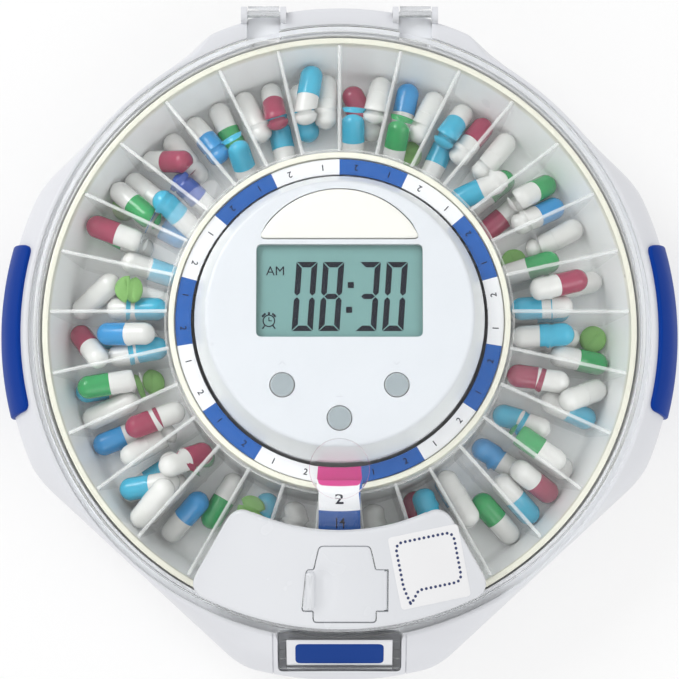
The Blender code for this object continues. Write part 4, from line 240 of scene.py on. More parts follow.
SPRING_WIRE = 0.0004
SPRING_TOP = 0.0213
CAPSULE_RADIUS = 0.00345
CAPSULE_HALF = 0.0097
SHARP_ANGLE = radians(30.0)
MERGE_REACH = 0.0000015
NEARLY_NOTHING = 1e-9
INK_LIFT = 0.00003
INK_THICKNESS = 0.00004
GRAIN_SCALE = 2600.0
TRAY_COLUMNS = 348

# Camera
CAMERA_ELEVATION = radians(81.0)
CAMERA_DISTANCE = 0.900
CAMERA_AIM = Vector((0.0, -0.0015, 0.0300))
CAMERA_LENS = 157.5
CAMERA_SENSOR = 36.0


def new_object(name, data):
    """An object in the scene, at the origin."""
    obj = bpy.data.objects.new(name, data)
    bpy.context.scene.collection.objects.link(obj)
    return obj


def add_camera():
    """The photograph's view: from the front, a little off straight down."""
    data = bpy.data.cameras.new("camera")
    data.lens = CAMERA_LENS
    data.sensor_width = CAMERA_SENSOR
    camera = new_object("camera", data)
    away = Vector((0.0, -cos(CAMERA_ELEVATION), sin(CAMERA_ELEVATION)))
    camera.location = CAMERA_AIM + away * CAMERA_DISTANCE
    camera.rotation_euler = away.to_track_quat("Z", "Y").to_euler()
    bpy.context.scene.camera = camera


add_camera()
node_slots = {name: node.data.materials[0].name for name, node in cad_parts.items()}
for material in list(bpy.data.materials):
    bpy.data.materials.remove(material)


# Shader maths
class Value:
    """A shader socket that takes part in sums: each operator adds the Math node that works it out."""

    def __init__(self, finish, socket):
        self.finish = finish
        self.socket = socket

    def math(self, operation, *others, clamp=False):
        settings = {"operation": operation, "use_clamp": clamp}
        return self.finish.node("ShaderNodeMath", settings, [self, *others])

    def __add__(self, other):
        return self.math("ADD", other)

    __radd__ = __add__

    def __sub__(self, other):
        return self.math("SUBTRACT", other)

    def __rsub__(self, other):
        return (self * -1.0) + other

    def __mul__(self, other):
        return self.math("MULTIPLY", other)

    __rmul__ = __mul__

    def __truediv__(self, other):
        return self.math("DIVIDE", other)

    def __abs__(self):
        return self.math("ABSOLUTE")

    def reach(self, other):
        """How far a point is from the origin, from its two coordinates."""
        return (self * self + other * other).math("SQRT")

    def rise(self, edge, soft):
        """0 below the edge, 1 above it, and a straight ramp of a width between."""
        return ((self - edge) / soft).math("ADD", 0.5, clamp=True)

    def within(self, low, high, soft):
        """1 between two edges."""
        return self.rise(low, soft) * (1 - self.rise(high, soft))


class Finish:
    """A material: a Principled shader, with the nodes that feed it."""

    def __init__(self, name, colour, roughness, **constants):
        self.material = bpy.data.materials.new(name)
        self.material.use_nodes = True
        self.tree = self.material.node_tree
        self.shader = self.tree.nodes["Principled BSDF"]
        self.shader.inputs["Base Color"].default_value = (*colour, 1.0)
        self.shader.inputs["Roughness"].default_value = roughness
        for socket, value in constants.items():
            self.shader.inputs[socket.replace("_", " ")].default_value = value
        self.colour = colour
        self.roughness = roughness

    def node(self, kind, settings=None, values=(), output=0):
        """Adds a node: its settings first, then its sockets' values or links. Returns one of its outputs."""
        made = self.tree.nodes.new(kind)
        for setting, value in (settings or {}).items():
            setattr(made, setting, value)
        pairs = values.items() if isinstance(values, dict) else enumerate(values)
        for socket, value in pairs:
            self.join(made.inputs[socket], value)
        return Value(self, made.outputs[output])

    def join(self, socket, value):
        if isinstance(value, Value):
            self.tree.links.new(value.socket, socket)
        elif isinstance(value, (tuple, list)) and len(value) == 3 and socket.type == "RGBA":
            socket.default_value = (*value, 1.0)
        else:
            socket.default_value = value

    def feed(self, socket, value):
        self.join(self.shader.inputs[socket], value)
        return self

    def surface(self, output, share, first, second):
        """Feeds an output with one shader where the share is 0, and with another where it is 1."""
        mixed = self.node("ShaderNodeMixShader", None, [share, first, second])
        self.join(self.tree.nodes[output].inputs["Surface"], mixed)

    def place(self):
        """X, Y and Z from the tray's axis, in metres."""
        point = self.node("ShaderNodeTexCoord", output="Object")
        x, y, z = (self.node("ShaderNodeSeparateXYZ", None, [point], axis) for axis in "XYZ")
        return x, y - AXIS_Y, z

    def noise(self, scale, detail=2.0):
        """Noise of a number of cells to the metre, near 0.5."""
        point = self.node("ShaderNodeTexCoord", output="Object")
        return self.node("ShaderNodeTexNoise", None, {"Vector": point, "Scale": scale, "Detail": detail})

    def mix(self, share, first, second):
        """The first colour where the share is 0, the second where it is 1."""
        settings = {"data_type": "RGBA"}
        return self.node("ShaderNodeMix", settings, {0: share, 6: first, 7: second}, 2)

    def bump(self, height, depth):
        """A small relief: the height runs from 0 to 1 and stands for a depth in metres."""
        values = {"Height": height, "Distance": depth}
        return self.feed("Normal", self.node("ShaderNodeBump", None, values))

    def paint(self, share, first, second):
        """The base colour: the first where the share is 0, the second where it is 1."""
        return self.feed("Base Color", self.mix(share, first, second))

    def mottled(self, spread=0.02, scale=60.0):
        """The plain colour, a little lighter and darker in soft clouds."""
        darker = tuple(channel * (1 - spread) for channel in self.colour)
        lighter = tuple(min(channel * (1 + spread), 1.0) for channel in self.colour)
        return self.paint(self.noise(scale), darker, lighter)

    def uneven(self, spread=0.10, scale=90.0):
        """Gloss that wavers about its roughness."""
        return self.feed("Roughness", self.noise(scale) * spread + (self.roughness - spread / 2))


def moulded(name, colour, roughness, grain=0.000012, **constants):
    """Injection moulded plastic: cloudy colour, uneven gloss and a fine spark-eroded grain."""
    finish = Finish(name, colour, roughness, **constants)
    finish.mottled().uneven()
    return finish.bump(finish.noise(GRAIN_SCALE, 3.0), grain)


def clear(name, tint, roughness=0.02, ior=1.30, lets_through=0.99):
    """Clear plastic that refracts what is behind it and lets the lamps' light through."""
    finish = Finish(name, tint, roughness, Transmission_Weight=1.0, IOR=ior)
    finish.feed("Roughness", finish.noise(140.0) * 0.02 + roughness)
    light = finish.node("ShaderNodeLightPath", output="Is Shadow Ray")
    through = finish.node("ShaderNodeBsdfTransparent", None, [tuple(lets_through * c for c in tint)])
    finish.surface("Material Output", light, Value(finish, finish.shader.outputs[0]), through)
    return finish


# Finishes
WHITE = (0.725, 0.735, 0.770)
PRINT_BLUE = (0.003, 0.095, 0.390)
PRINT_WHITE = (0.84, 0.845, 0.865)
MAGENTA = (0.640, 0.022, 0.240)
TAB_BLUE = (0.006, 0.080, 0.340)

case_white = moulded("case_white", WHITE, 0.34)
hatch_white = moulded("hatch_white", (0.72, 0.735, 0.765), 0.26, 0.000004)
inner_white = moulded("inner_white", (0.74, 0.75, 0.77), 0.45)
grip_blue = moulded("grip_blue", (0.001, 0.038, 0.280), 0.42, 0.000020, Specular_IOR_Level=0.08)
foot_rubber = moulded("foot_rubber", (0.030, 0.030, 0.032), 0.75, 0.000020)
black_plastic = moulded("black_plastic", (0.020, 0.020, 0.022), 0.45)
gear_cream = moulded("gear_cream", (0.80, 0.78, 0.68), 0.40)
lead_red = moulded("lead_red", (0.45, 0.015, 0.015), 0.45)
lead_black = moulded("lead_black", (0.02, 0.02, 0.02), 0.45)
led_red = moulded("led_red", (0.60, 0.03, 0.02), 0.20)
lid_clear = clear("lid_clear", (0.990, 0.996, 0.995))
lens_clear = clear("lens_clear", (0.990, 0.995, 0.996), 0.01, 1.46)
window_clear = clear("window_clear", (0.985, 0.992, 0.990), 0.03, 1.10)
lcd_ink = moulded("lcd_ink", (0.002, 0.004, 0.014), 0.50, 0.000002, Specular_IOR_Level=0.1)
print_ink = moulded("print_ink", (0.006, 0.008, 0.022), 0.50, 0.000002, Specular_IOR_Level=0.1)
sticker_white = moulded("sticker_white", (0.84, 0.84, 0.85), 0.40, 0.000003)
mark_grey = moulded("mark_grey", (0.60, 0.62, 0.66), 0.40, 0.000002)
sticker_ink = moulded("sticker_ink", (0.015, 0.030, 0.120), 0.40, 0.000002)
label_blue = moulded("label_blue", (0.003, 0.045, 0.260), 0.30, 0.000003, Specular_IOR_Level=0.15)
label_white = moulded("label_white", (0.80, 0.805, 0.83), 0.32, 0.000003)
alarm_cream = moulded("alarm_cream", (0.83, 0.82, 0.77), 0.22, 0.000003, Coat_Weight=0.4)


def head_finish():
    """A cool white on the display head's face, and paler down its skirt: painted light that offsets the shade
    on the sloping skirt.
    """
    finish = Finish("head_white", (0.68, 0.705, 0.743), 0.30)
    x, y = finish.place()[:2]
    skirt = x.reach(y).rise(HEAD_FACE_RADIUS + 0.0002, 0.0004)
    face = finish.mix(finish.noise(60.0), (0.665, 0.690, 0.728), (0.695, 0.720, 0.758))
    # painted light: the sloping skirt gets a paler tone to make up for the shade it sits in
    finish.paint(skirt, face, (0.76, 0.785, 0.80))
    finish.uneven()
    return finish.bump(finish.noise(GRAIN_SCALE, 3.0), 0.000006)


head_white = head_finish()


def button_finish():
    """A grey disc with a painted highlight on its rounded edge, and painted shade below its head."""
    finish = Finish("button_grey", (0.330, 0.385, 0.410), 0.50)
    x, y, z = finish.place()
    left, middle, right = ((x - u).reach(y - v) for u, v in BUTTON_SPOTS.values())
    near = left.math("MINIMUM", middle).math("MINIMUM", right)
    disc = finish.mix(finish.noise(220.0, 3.0), (0.300, 0.350, 0.375), (0.350, 0.400, 0.425))
    # painted highlight: a paler ring over the disc's rounded edge
    top = finish.mix(near.rise(0.00338, 0.00008), disc, (0.60, 0.62, 0.63))
    # painted shade: the collar and stem below the head go near black, where the gap round the button is in
    # shade
    painted_gap_shade = 1 - z.rise(HEAD_TOP - 0.0004, 0.0006)
    finish.paint(painted_gap_shade, top, (0.03, 0.03, 0.035))
    finish.uneven()
    return finish.bump(finish.noise(2200.0, 3.0), 0.000010)


button_grey = button_finish()


def brushed(name, colour, roughness):
    """Metal with fine lines along X and uneven gloss."""
    finish = Finish(name, colour, roughness, Metallic=1.0)
    x, y, z = finish.place()
    stretched = finish.node("ShaderNodeCombineXYZ", None, [x * 0.05, y, z])
    lines = finish.node("ShaderNodeTexNoise", None, {"Vector": stretched, "Scale": 5200.0, "Detail": 2.0})
    finish.feed("Roughness", lines * 0.18 + (roughness - 0.09))
    finish.mottled(0.05, 400.0)
    return finish.bump(lines, 0.000004)


steel = brushed("steel", (0.60, 0.61, 0.63), 0.28)
brass = brushed("brass", (0.62, 0.43, 0.15), 0.32)


def fin_finish():
    """Clear plastic that shows as a faint pale veil, with a painted highlight along its upper edge."""
    finish = Finish("fin_clear", (0.95, 0.965, 0.965), 0.12)
    x, y, z = finish.place()
    top = x.reach(y) * DIVIDER_SLOPE + (DIVIDER_HUB_HEIGHT - DIVIDER_SLOPE * HUB_RADIUS)
    # painted highlight: the fin's top edge is made more opaque pale white, standing in for the light that the
    # edge catches
    edge = (z - top).rise(-0.00045, 0.0003)
    finish.feed("Alpha", edge * 0.34 + (finish.noise(120.0) * 0.04 + 0.10))
    finish.mottled(0.02, 90.0)
    return finish.uneven(0.06)


fin_clear = fin_finish()


def tray_finish():
    """Milky plastic that gathers a cream tint in its rim and in the top of its hub."""
    finish = Finish("tray_milky", (0.80, 0.82, 0.83), 0.30)
    x, y, z = finish.place()
    radius = x.reach(y)
    rim = radius.rise(TRAY_INNER - GAP, 0.0004) * z.rise(TRAY_RIM_HEIGHT - 0.004, 0.006)
    hub = (1 - radius.rise(HUB_RADIUS + GAP, 0.0004)) * z.rise(HUB_TOP - 0.006, 0.006)
    cream = (rim + hub).math("MINIMUM", 1.0)
    milk = finish.mix(finish.noise(45.0), (0.94, 0.955, 0.955), (0.97, 0.98, 0.98))
    finish.paint(cream, milk, (0.80, 0.79, 0.68))
    finish.uneven()
    return finish.bump(finish.noise(1500.0, 3.0), 0.000004)


tray_milky = tray_finish()


def ring_finish():
    """The dose ring's print: two-pocket segments in white and blue, and the home mark in magenta."""
    finish = Finish("ring_print", PRINT_WHITE, 0.40, Specular_IOR_Level=0.15)
    x, y = finish.place()[:2]
    radius = x.reach(y)
    turn = x.math("ARCTAN2", y)
    spans = abs(turn) * (POCKETS / (2 * tau))
    odd = spans.math("FLOOR").math("FLOORED_MODULO", 2.0)
    blue = abs(x.math("GREATER_THAN", 0.0) - odd)
    home = spans.math("GREATER_THAN", (POCKETS - 1) / 4)
    on_tab = radius.rise(HUB_INNER - GAP, 0.0001)
    band = radius.within(DOSE_TAB_BAND, DOSE_TAB_REACH - 0.0004, 0.00012)
    body = finish.mix(blue, PRINT_WHITE, PRINT_BLUE)
    tab = finish.mix(band, PRINT_WHITE, TAB_BLUE)
    body = finish.mix(home, body, finish.mix(on_tab, MAGENTA, tab))
    finish.paint(finish.noise(300.0, 3.0) * 0.03, body, PRINT_WHITE)
    finish.uneven(0.08)
    return finish.bump(finish.noise(3000.0), 0.000003)


ring_print = ring_finish()


def lcd_finish():
    """A reflective display: grey green, a little darker towards its edges."""
    finish = Finish("lcd_face", (0.20, 0.37, 0.36), 0.45, Specular_IOR_Level=0.1)
    x, y = finish.place()[:2]
    across = abs(x) / (WINDOW_SIZE[0] / 2)
    down = abs(y - WINDOW_Y) / (WINDOW_SIZE[1] / 2)
    edge = across.math("MAXIMUM", down).rise(0.97, 0.10)
    face = finish.mix(finish.noise(40.0), (0.190, 0.355, 0.345), (0.210, 0.380, 0.370))
    finish.paint(edge * 0.5, face, (0.14, 0.25, 0.23))
    return finish.bump(finish.noise(2400.0), 0.000002)


lcd_face = lcd_finish()


def board_finish():
    """Solder mask over copper tracks on a square pitch."""
    finish = Finish("board_green", (0.015, 0.150, 0.055), 0.35)
    x = finish.place()[0]
    lines = abs((x / 0.0016).math("FRACT") - 0.5).rise(0.34, 0.06)
    copper = lines * finish.noise(260.0, 0.0).rise(0.52, 0.02)
    finish.paint(copper, (0.012, 0.130, 0.048), (0.030, 0.230, 0.085))
    return finish.bump(copper, 0.000030)


board_green = board_finish()


def cell_finish():
    """A battery's jacket: a green film with a silver end band."""
    finish = Finish("cell_jacket", (0.02, 0.20, 0.08), 0.30)
    y = finish.place()[1]
    band = abs(y).rise(0.0205, 0.0002)
    finish.paint(band, (0.015, 0.190, 0.070), (0.55, 0.56, 0.57))
    finish.feed("Metallic", band * 0.9)
    return finish.uneven(0.08)


cell_jacket = cell_finish()

# The record's slots: most have the name of their finish
SLOT_FINISHES = {
    finish.material.name: finish
    for finish in (
        inner_white, grip_blue, lid_clear, lens_clear, window_clear, hatch_white, tray_milky, ring_print,
        lcd_face, alarm_cream, button_grey, foot_rubber, steel, brass, cell_jacket, board_green,
        black_plastic, led_red, lead_red, lead_black, gear_cream,
    )
}
SLOT_FINISHES |= {"housing_white": case_white, "display_white": head_white, "release_blue": label_white}


def finish_nodes():
    """Gives each CAD node the finish of its slot in the record."""
    for name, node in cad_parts.items():
        node.data.materials.clear()
        node.data.materials.append(SLOT_FINISHES[node_slots[name]].material)


# Mesh building
def piece(name, points, faces, finish=None, body=None, node=None, slot=None):
    """A mesh object from points round the tray's axis: its doubles merged and its faces turned outwards."""
    mesh = bpy.data.meshes.new(name)
    placed = np.asarray(points, float).reshape(-1, 3) + (0.0, AXIS_Y, 0.0)
    mesh.from_pydata(placed.tolist(), [], faces)
    shape = bmesh.new()
    shape.from_mesh(mesh)
    bmesh.ops.remove_doubles(shape, verts=shape.verts, dist=MERGE_REACH)
    bmesh.ops.dissolve_degenerate(shape, edges=shape.edges, dist=MERGE_REACH)
    bmesh.ops.recalc_face_normals(shape, faces=shape.faces)
    shape.to_mesh(mesh)
    shape.free()
    mesh.shade_smooth()
    mesh.set_sharp_from_angle(angle=SHARP_ANGLE)
    obj = new_object(name, mesh)
    if body:
        belong(obj, finish, body, node, slot)
    return obj


def belong(obj, finish, body, node=None, slot=None):
    """Gives a piece its finish and the body that it moves with, and hides the CAD node that it stands for."""
    obj.data.materials.append(finish.material)
    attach(obj, body)
    slot or node_slots[node]
    if node:
        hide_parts(node)


def turns(count):
    """Equal steps once round."""
    return np.arange(count) * tau / count


def grid_faces(rows, columns, close_rows=False, close_columns=False):
    """Quads between the neighbours of a grid, whose first and last lines may be joined."""
    below = np.arange(rows if close_rows else rows - 1)
    beside = np.arange(columns if close_columns else columns - 1)
    r, c = np.meshgrid(below, beside, indexing="ij")
    up, over = (r + 1) % rows, (c + 1) % columns
    quads = np.stack([r * columns + c, r * columns + over, up * columns + over, up * columns + c], -1)
    return quads.reshape(-1, 4).tolist()


def capped_faces(rows, columns):
    """A grid closed across its columns, with a face over its first and its last row."""
    last = (rows - 1) * columns
    ends = [list(range(columns))[::-1], list(range(last, last + columns))]
    return grid_faces(rows, columns, False, True) + ends


def rounded(lines, bites, steps=4, closed=True):
    """Each line of a grid gives way to a quadratic curve across it.

    The curve leaves the line before it a bite away and joins the line after it a bite away, so that a corner
    of the profile becomes a round. A bite is at most 0.45 of the way to the next line.
    """
    lines = np.asarray(lines, float)
    bites = np.broadcast_to(np.asarray(bites, float), (len(lines),))
    before = np.roll(lines, 1, 0) - lines
    after = np.roll(lines, -1, 0) - lines
    rows = []
    for i in range(len(lines)):
        if bites[i] == 0.0 or (not closed and i in (0, len(lines) - 1)):
            rows.append(lines[i][None])
            continue
        reach_before = np.linalg.norm(before[i], axis=-1, keepdims=True)
        reach_after = np.linalg.norm(after[i], axis=-1, keepdims=True)
        bite = np.minimum(bites[i], 0.45 * np.minimum(reach_before, reach_after))
        start = lines[i] + before[i] / np.maximum(reach_before, NEARLY_NOTHING) * bite
        end = lines[i] + after[i] / np.maximum(reach_after, NEARLY_NOTHING) * bite
        share = np.linspace(0.0, 1.0, steps + 1).reshape((-1,) + (1,) * (lines.ndim - 1))
        rows.append((1 - share) ** 2 * start + 2 * share * (1 - share) * lines[i] + share**2 * end)
    return np.concatenate(rows)


def turned_grid(profile, bites, columns=240, closed=True, at=(0.0, 0.0), steps=4):
    """A profile of (radius, height) points turned about an upright axis, its corners rounded."""
    line = rounded(profile, bites, steps, closed)
    angles = turns(columns)
    radius, height = line[:, 0, None], line[:, 1, None]
    x, y = radius * np.cos(angles) + at[0], radius * np.sin(angles) + at[1]
    return np.stack([x, y, height + 0 * angles], -1), grid_faces(len(line), columns, closed, True)


def across_grid(outline, low, high, bites=0.0):
    """A flat outline of (y, z) points carried along X, closed at both ends."""
    line = rounded(outline, bites)
    ends = [np.column_stack([np.full(len(line), x), line]) for x in (low, high)]
    return np.array(ends), capped_faces(2, len(line))


def upright_grid(outline, low, high, bites=0.0):
    """A flat outline of (x, y) points carried up from one height to another."""
    line = rounded(outline, bites)
    ends = [np.column_stack([line, np.full(len(line), height)]) for height in (low, high)]
    return np.array(ends), capped_faces(2, len(line))


def rectangle(low_x, high_x, low_y, high_y):
    """Four corners, counterclockwise."""
    return [(low_x, low_y), (high_x, low_y), (high_x, high_y), (low_x, high_y)]


def carve(obj, *grids, operation="DIFFERENCE"):
    """Cuts closed shapes out of a piece, or joins them to it."""
    for points, faces in grids:
        cutter = piece("tool", points, faces)
        modifier = obj.modifiers.new("carve", "BOOLEAN")
        modifier.operation = operation
        modifier.solver = "EXACT"
        modifier.object = cutter
        graph = bpy.context.evaluated_depsgraph_get()
        mesh = bpy.data.meshes.new_from_object(obj.evaluated_get(graph))
        obj.modifiers.clear()
        spare = obj.data, cutter.data
        obj.data = mesh
        bpy.data.objects.remove(cutter)
        for old in spare:
            bpy.data.meshes.remove(old)
    obj.data.shade_smooth()
    obj.data.set_sharp_from_angle(angle=SHARP_ANGLE)
    return obj


def outward_of(outline):
    """Unit normals of a counterclockwise outline, from each point's two neighbours."""
    ahead = np.roll(outline, -1, 0) - np.roll(outline, 1, 0)
    outward = np.column_stack([ahead[:, 1], -ahead[:, 0]])
    return outward / np.linalg.norm(outward, axis=1, keepdims=True)


def spaced(outline, pitch):
    """A closed outline with its long sides cut into steps of about a pitch."""
    parts = []
    for start, end in zip(outline, np.roll(outline, -1, 0)):
        steps = max(int(np.hypot(*(end - start)) / pitch), 1)
        parts.append(np.linspace(start, end, steps, endpoint=False))
    return np.concatenate(parts)


def slab_grid(outline, middle, lay, low, high, edge, rings=6):
    """A plate that lies on a surface, with a quarter round along its upper edge.

    Rings of points run from the middle out to the outline at the low side, up the edge, and back to the
    middle at the high side. lay(u, v, lift) puts a point of the drawing on the surface.
    """
    outline = np.asarray(outline, float)
    outward = outward_of(outline)
    shares = np.linspace(1.0, 0.0, rings + 1)[:-1, None]
    lines = [(outline + (middle - outline) * share, low) for share in shares] + [(outline, low)]
    for angle in np.linspace(0.0, pi / 2, 5):
        lines.append((outline - outward * edge * (1 - cos(angle)), high - edge * (1 - sin(angle))))
    inner = outline - outward * edge
    lines += [(inner + (middle - inner) * share, high) for share in shares[::-1]]
    points = np.array([lay(flat[:, 0], flat[:, 1], lift) for flat, lift in lines])
    return points, grid_faces(len(lines), len(outline), False, True)


def level(height):
    """Lays a drawing flat at a height."""
    return lambda u, v, lift: np.column_stack([u, v, np.full(len(u), height) + lift])


def on_slope(u, v, lift):
    """Lays a drawing on the lid's cone, seen from above, and lifts it square to the cone."""
    radius = np.hypot(u, v)
    run = (LID_SLOPE_RADIUS - radius) / (LID_SLOPE_RADIUS - LID_STEP_RADIUS)
    height = LID_SLOPE_HEIGHT + (LID_STEP_HEIGHT - LID_SLOPE_HEIGHT) * run
    out = 1 + sin(LID_SLOPE) * lift / radius
    return np.column_stack([u * out, v * out, height + cos(LID_SLOPE) * lift])


# Case
def softer_least(first, second, blend):
    """The lesser of two lengths, eased by a quarter of the blend where they are equal."""
    near = np.maximum(blend - np.abs(first - second), 0.0) / blend
    return np.minimum(first, second) - near * near * blend / 4


def outline_reach(angle):
    """How far the case reaches at an angle: four lobes cut by four straight flanks, eased where they meet."""
    turn = np.arctan2(np.sin(angle), np.cos(angle))
    beside = np.minimum(np.abs(turn), pi - np.abs(turn))
    over = turn > 0
    lobe = np.where(beside <= FLANK_ANGLE, SIDE_REACH, np.where(over, REAR_REACH, FRONT_REACH))
    flank = np.where(over, REAR_FLANK_REACH, FRONT_FLANK_REACH) / np.cos(beside - FLANK_ANGLE)
    return softer_least(lobe, flank, CORNER_BLEND)


def rim_reach(angle):
    """The outer edge of the flat rim, which is wider over the hinges."""
    from_rear = np.arccos(np.clip(np.sin(angle), -1.0, 1.0))
    over = np.clip((REAR_RIM_ANGLE + REAR_RIM_FADE - from_rear) / REAR_RIM_FADE, 0.0, 1.0)
    over = over * over * (3 - 2 * over)
    wide = RIM_REACH + (REAR_RIM_REACH - RIM_REACH) * over
    return np.minimum(wide, outline_reach(angle) - 0.0004)


def foot_reach(angle):
    """The case's lower edge: its reach less an inset, but never nearer than a least reach."""
    return np.maximum(outline_reach(angle) - FOOT_INSET, LEAST_FOOT_REACH)


def waist_reach(angle):
    """The foot of the case's upright side: its reach less a smaller inset, with the same least reach."""
    return np.maximum(outline_reach(angle) - WAIST_INSET, LEAST_FOOT_REACH)


def shoulder_reach(angle):
    """A share of the way from the rim out to the side."""
    rim = rim_reach(angle)
    return rim + (outline_reach(angle) - rim) * SHOULDER_SHARE


def around(reach, height, angles):
    """A ring whose reach from the axis is a function of the angle, or one number."""
    far = reach(angles) if callable(reach) else np.full(len(angles), reach)
    return np.column_stack([far * np.cos(angles), far * np.sin(angles), np.full(len(angles), height)])


def ringed_grid(rings, columns, steps=4, closed=True):
    """Rings of (reach, height, bite) stacked one after another, and rounded where they bite."""
    angles = turns(columns)
    lines = np.array([around(reach, height, angles) for reach, height, bite in rings])
    points = rounded(lines, [bite for reach, height, bite in rings], steps, closed)
    return points, grid_faces(len(points), columns, closed, True)


OUTSIDE = [
    (foot_reach, WELL_FLOOR, 0.0),
    (waist_reach, 0.0120, 0.0040),
    (outline_reach, 0.0175, 0.0030),
    (outline_reach, 0.0205, 0.0030),
    (shoulder_reach, 0.0262, 0.0030),
    (rim_reach, RIM_HEIGHT, 0.0010),
]
CASE_COLUMNS = 480


def add_case():
    """The upper housing: a closed run of rings from its foot over the rim and seat down into the well."""
    under = WELL_FLOOR - CASE_FLOOR
    inside = [
        (RECESS_RADIUS, RIM_HEIGHT, 0.0003),
        (RECESS_RADIUS, SEAT_HEIGHT, 0.0002),
        (WELL_RADIUS, SEAT_HEIGHT, 0.0005),
        (WELL_FLOOR_RADIUS, WELL_FLOOR, 0.0015),
        (COLLAR_RADIUS, WELL_FLOOR, 0.0003),
        (COLLAR_RADIUS, COLLAR_TOP, 0.0003),
        (COLUMN_RADIUS, COLLAR_TOP, 0.0003),
        (COLUMN_RADIUS, COLUMN_TOP, 0.0003),
        (COLUMN_MOUTH, COLUMN_TOP, 0.0003),
        (COLUMN_MOUTH, COLUMN_TOP - WALL, 0.0),
        (COLUMN_RADIUS - WALL, COLUMN_TOP - WALL, 0.0),
        (COLUMN_RADIUS - WALL, under, 0.0),
        (WELL_FLOOR_RADIUS + CASE_FLOOR, under, 0.0),
    ]
    grid = ringed_grid(OUTSIDE + inside, CASE_COLUMNS)
    case = piece("case_shell", *grid, case_white, "base", "upper_housing")
    carve(case, lock_boss_grid(), operation="UNION")
    gear_window = upright_grid(rectangle(*GEAR_WINDOW), *GEAR_WINDOW_HEIGHTS)
    cam_room = upright_grid(rectangle(*CAM_ROOM), *CAM_ROOM_HEIGHTS)
    carve(case, recess_grid(), *notch_grids(), lock_hole_grid(), gear_window, cam_room, *groove_grids())
    for side, label in ((-1, "left"), (1, "right")):
        for name, near in EAR_SPOTS.items():
            grid = across_grid(ear_outline(), *sorted((side * near, side * (near + EAR_THICKNESS))))
            piece(f"hinge_ear_{label}_{name}", *grid, case_white, "base", "upper_housing")


def lock_boss_grid():
    """The block round the lock, with rounded upright edges."""
    return upright_grid(rounded(rectangle(*LOCK_BOSS), 0.0008, 4), *LOCK_BOSS_HEIGHTS)


def recess_grid():
    """The pocket under the tongue: a rounded outline that flares at the rim."""
    outline = rounded(rectangle(*RECESS), 0.0016, 5)
    outward = outward_of(outline)
    levels = [(RECESS_FLOOR, 0.0), (0.0298, 0.0), (0.0304, 0.0001), (0.0308, 0.0003)]
    levels += [(RIM_HEIGHT, 0.0006), (LID_TOP, 0.0006)]
    rings = [np.column_stack([outline + outward * grow, np.full(len(outline), z)]) for z, grow in levels]
    return np.array(rings), capped_faces(len(rings), len(outline))


def groove_grids():
    """The fine grooves that run down the front shoulder on both sides of the tongue."""
    floor = [(0.0948, 0.0305), (0.0960, 0.0303), (0.1020, 0.0259), (0.1056, 0.0203), (0.1056, 0.0150)]
    outline = [(-sqrt(reach**2 - GROOVE_X**2), z) for reach, z in floor]
    outline += [(-0.1070, 0.0150), (-0.1070, 0.0330), (outline[0][0], 0.0330)]
    return [across_grid(outline, x - GROOVE_HALF_WIDTH, x + GROOVE_HALF_WIDTH) for x in (-GROOVE_X, GROOVE_X)]


def notch_grids():
    """The two notches behind the rim that the lid's tabs swing in."""
    half = HINGE_NOTCH_HALF_WIDTH
    rooms = [(x - half, x + half, HINGE_TAB_FRONT, HINGE_NOTCH_REAR) for x in (-HINGE_TAB_X, HINGE_TAB_X)]
    return [upright_grid(rectangle(*room), HINGE_NOTCH_FLOOR, LID_TOP, 0.0006) for room in rooms]


def lock_hole_grid():
    """A round hole through the front wall, for the lock."""
    angles = turns(48)
    x, z = LOCK_HOLE_RADIUS * np.cos(angles), LOCK_HEIGHT + LOCK_HOLE_RADIUS * np.sin(angles)
    ends = [np.column_stack([x, np.full(48, y), z]) for y in LOCK_HOLE_ENDS]
    return np.array(ends), capped_faces(2, 48)


def ear_outline():
    """An upright plate, rounded about the hinge's axis."""
    angles = np.linspace(0.0, pi, 17)
    top = np.column_stack([HINGE_Y + EAR_RADIUS * np.cos(angles), HINGE_HEIGHT + EAR_RADIUS * np.sin(angles)])
    return np.vstack([[(HINGE_Y + EAR_RADIUS, EAR_FOOT)], top, [(HINGE_Y - EAR_RADIUS, EAR_FOOT)]])


def add_pan():
    """The bottom pan: rings from its middle out to its curled wall and back, cut for its door and screws."""
    floor_top = PAN_BOTTOM + PAN_WALL

    def inset(length):
        return lambda angle: foot_reach(angle) - length

    rings = [
        (NEARLY_NOTHING, PAN_BOTTOM, 0.0),
        (inset(PAN_CURL), PAN_BOTTOM, 0.0020),
        (foot_reach, PAN_EDGE, 0.0003),
        (inset(PAN_WALL), PAN_EDGE, 0.0003),
        (inset(PAN_CURL + PAN_WALL), floor_top, 0.0),
        (NEARLY_NOTHING, floor_top, 0.0),
    ]
    pan = piece("bottom_shell", *ringed_grid(rings, 240, 5, False), case_white, "base", "bottom_pan")
    cuts = [upright_grid(rectangle(*BATTERY_ROOM), 0.0, 0.0050, 0.0008)]
    wide, narrow, under, step, over = 0.0029, 0.0016, -0.001, 0.0027, 0.005
    hole = [(0.0, under), (wide, under), (wide, step), (narrow, step), (narrow, over), (0.0, over)]
    spots = [(x, y) for x in (-PAN_SCREW_X, PAN_SCREW_X) for y in (-PAN_SCREW_Y, PAN_SCREW_Y)]
    cuts += [turned_grid(hole, 0.0, 32, False, spot) for spot in spots]
    carve(pan, *cuts)
    profile = [(0.0, 0.0), (0.0060, 0.0), (0.0060, PAN_BOTTOM), (0.0, PAN_BOTTOM)]
    for x, across in ((-FOOT_SPOT, "left"), (FOOT_SPOT, "right")):
        for y, along in ((-FOOT_SPOT, "front"), (FOOT_SPOT, "rear")):
            grid = turned_grid(profile, 0.0004, 48, False, (x, y))
            piece(f"foot_pad_{along}_{across}", *grid, foot_rubber, "base", f"foot_{along}_{across}")


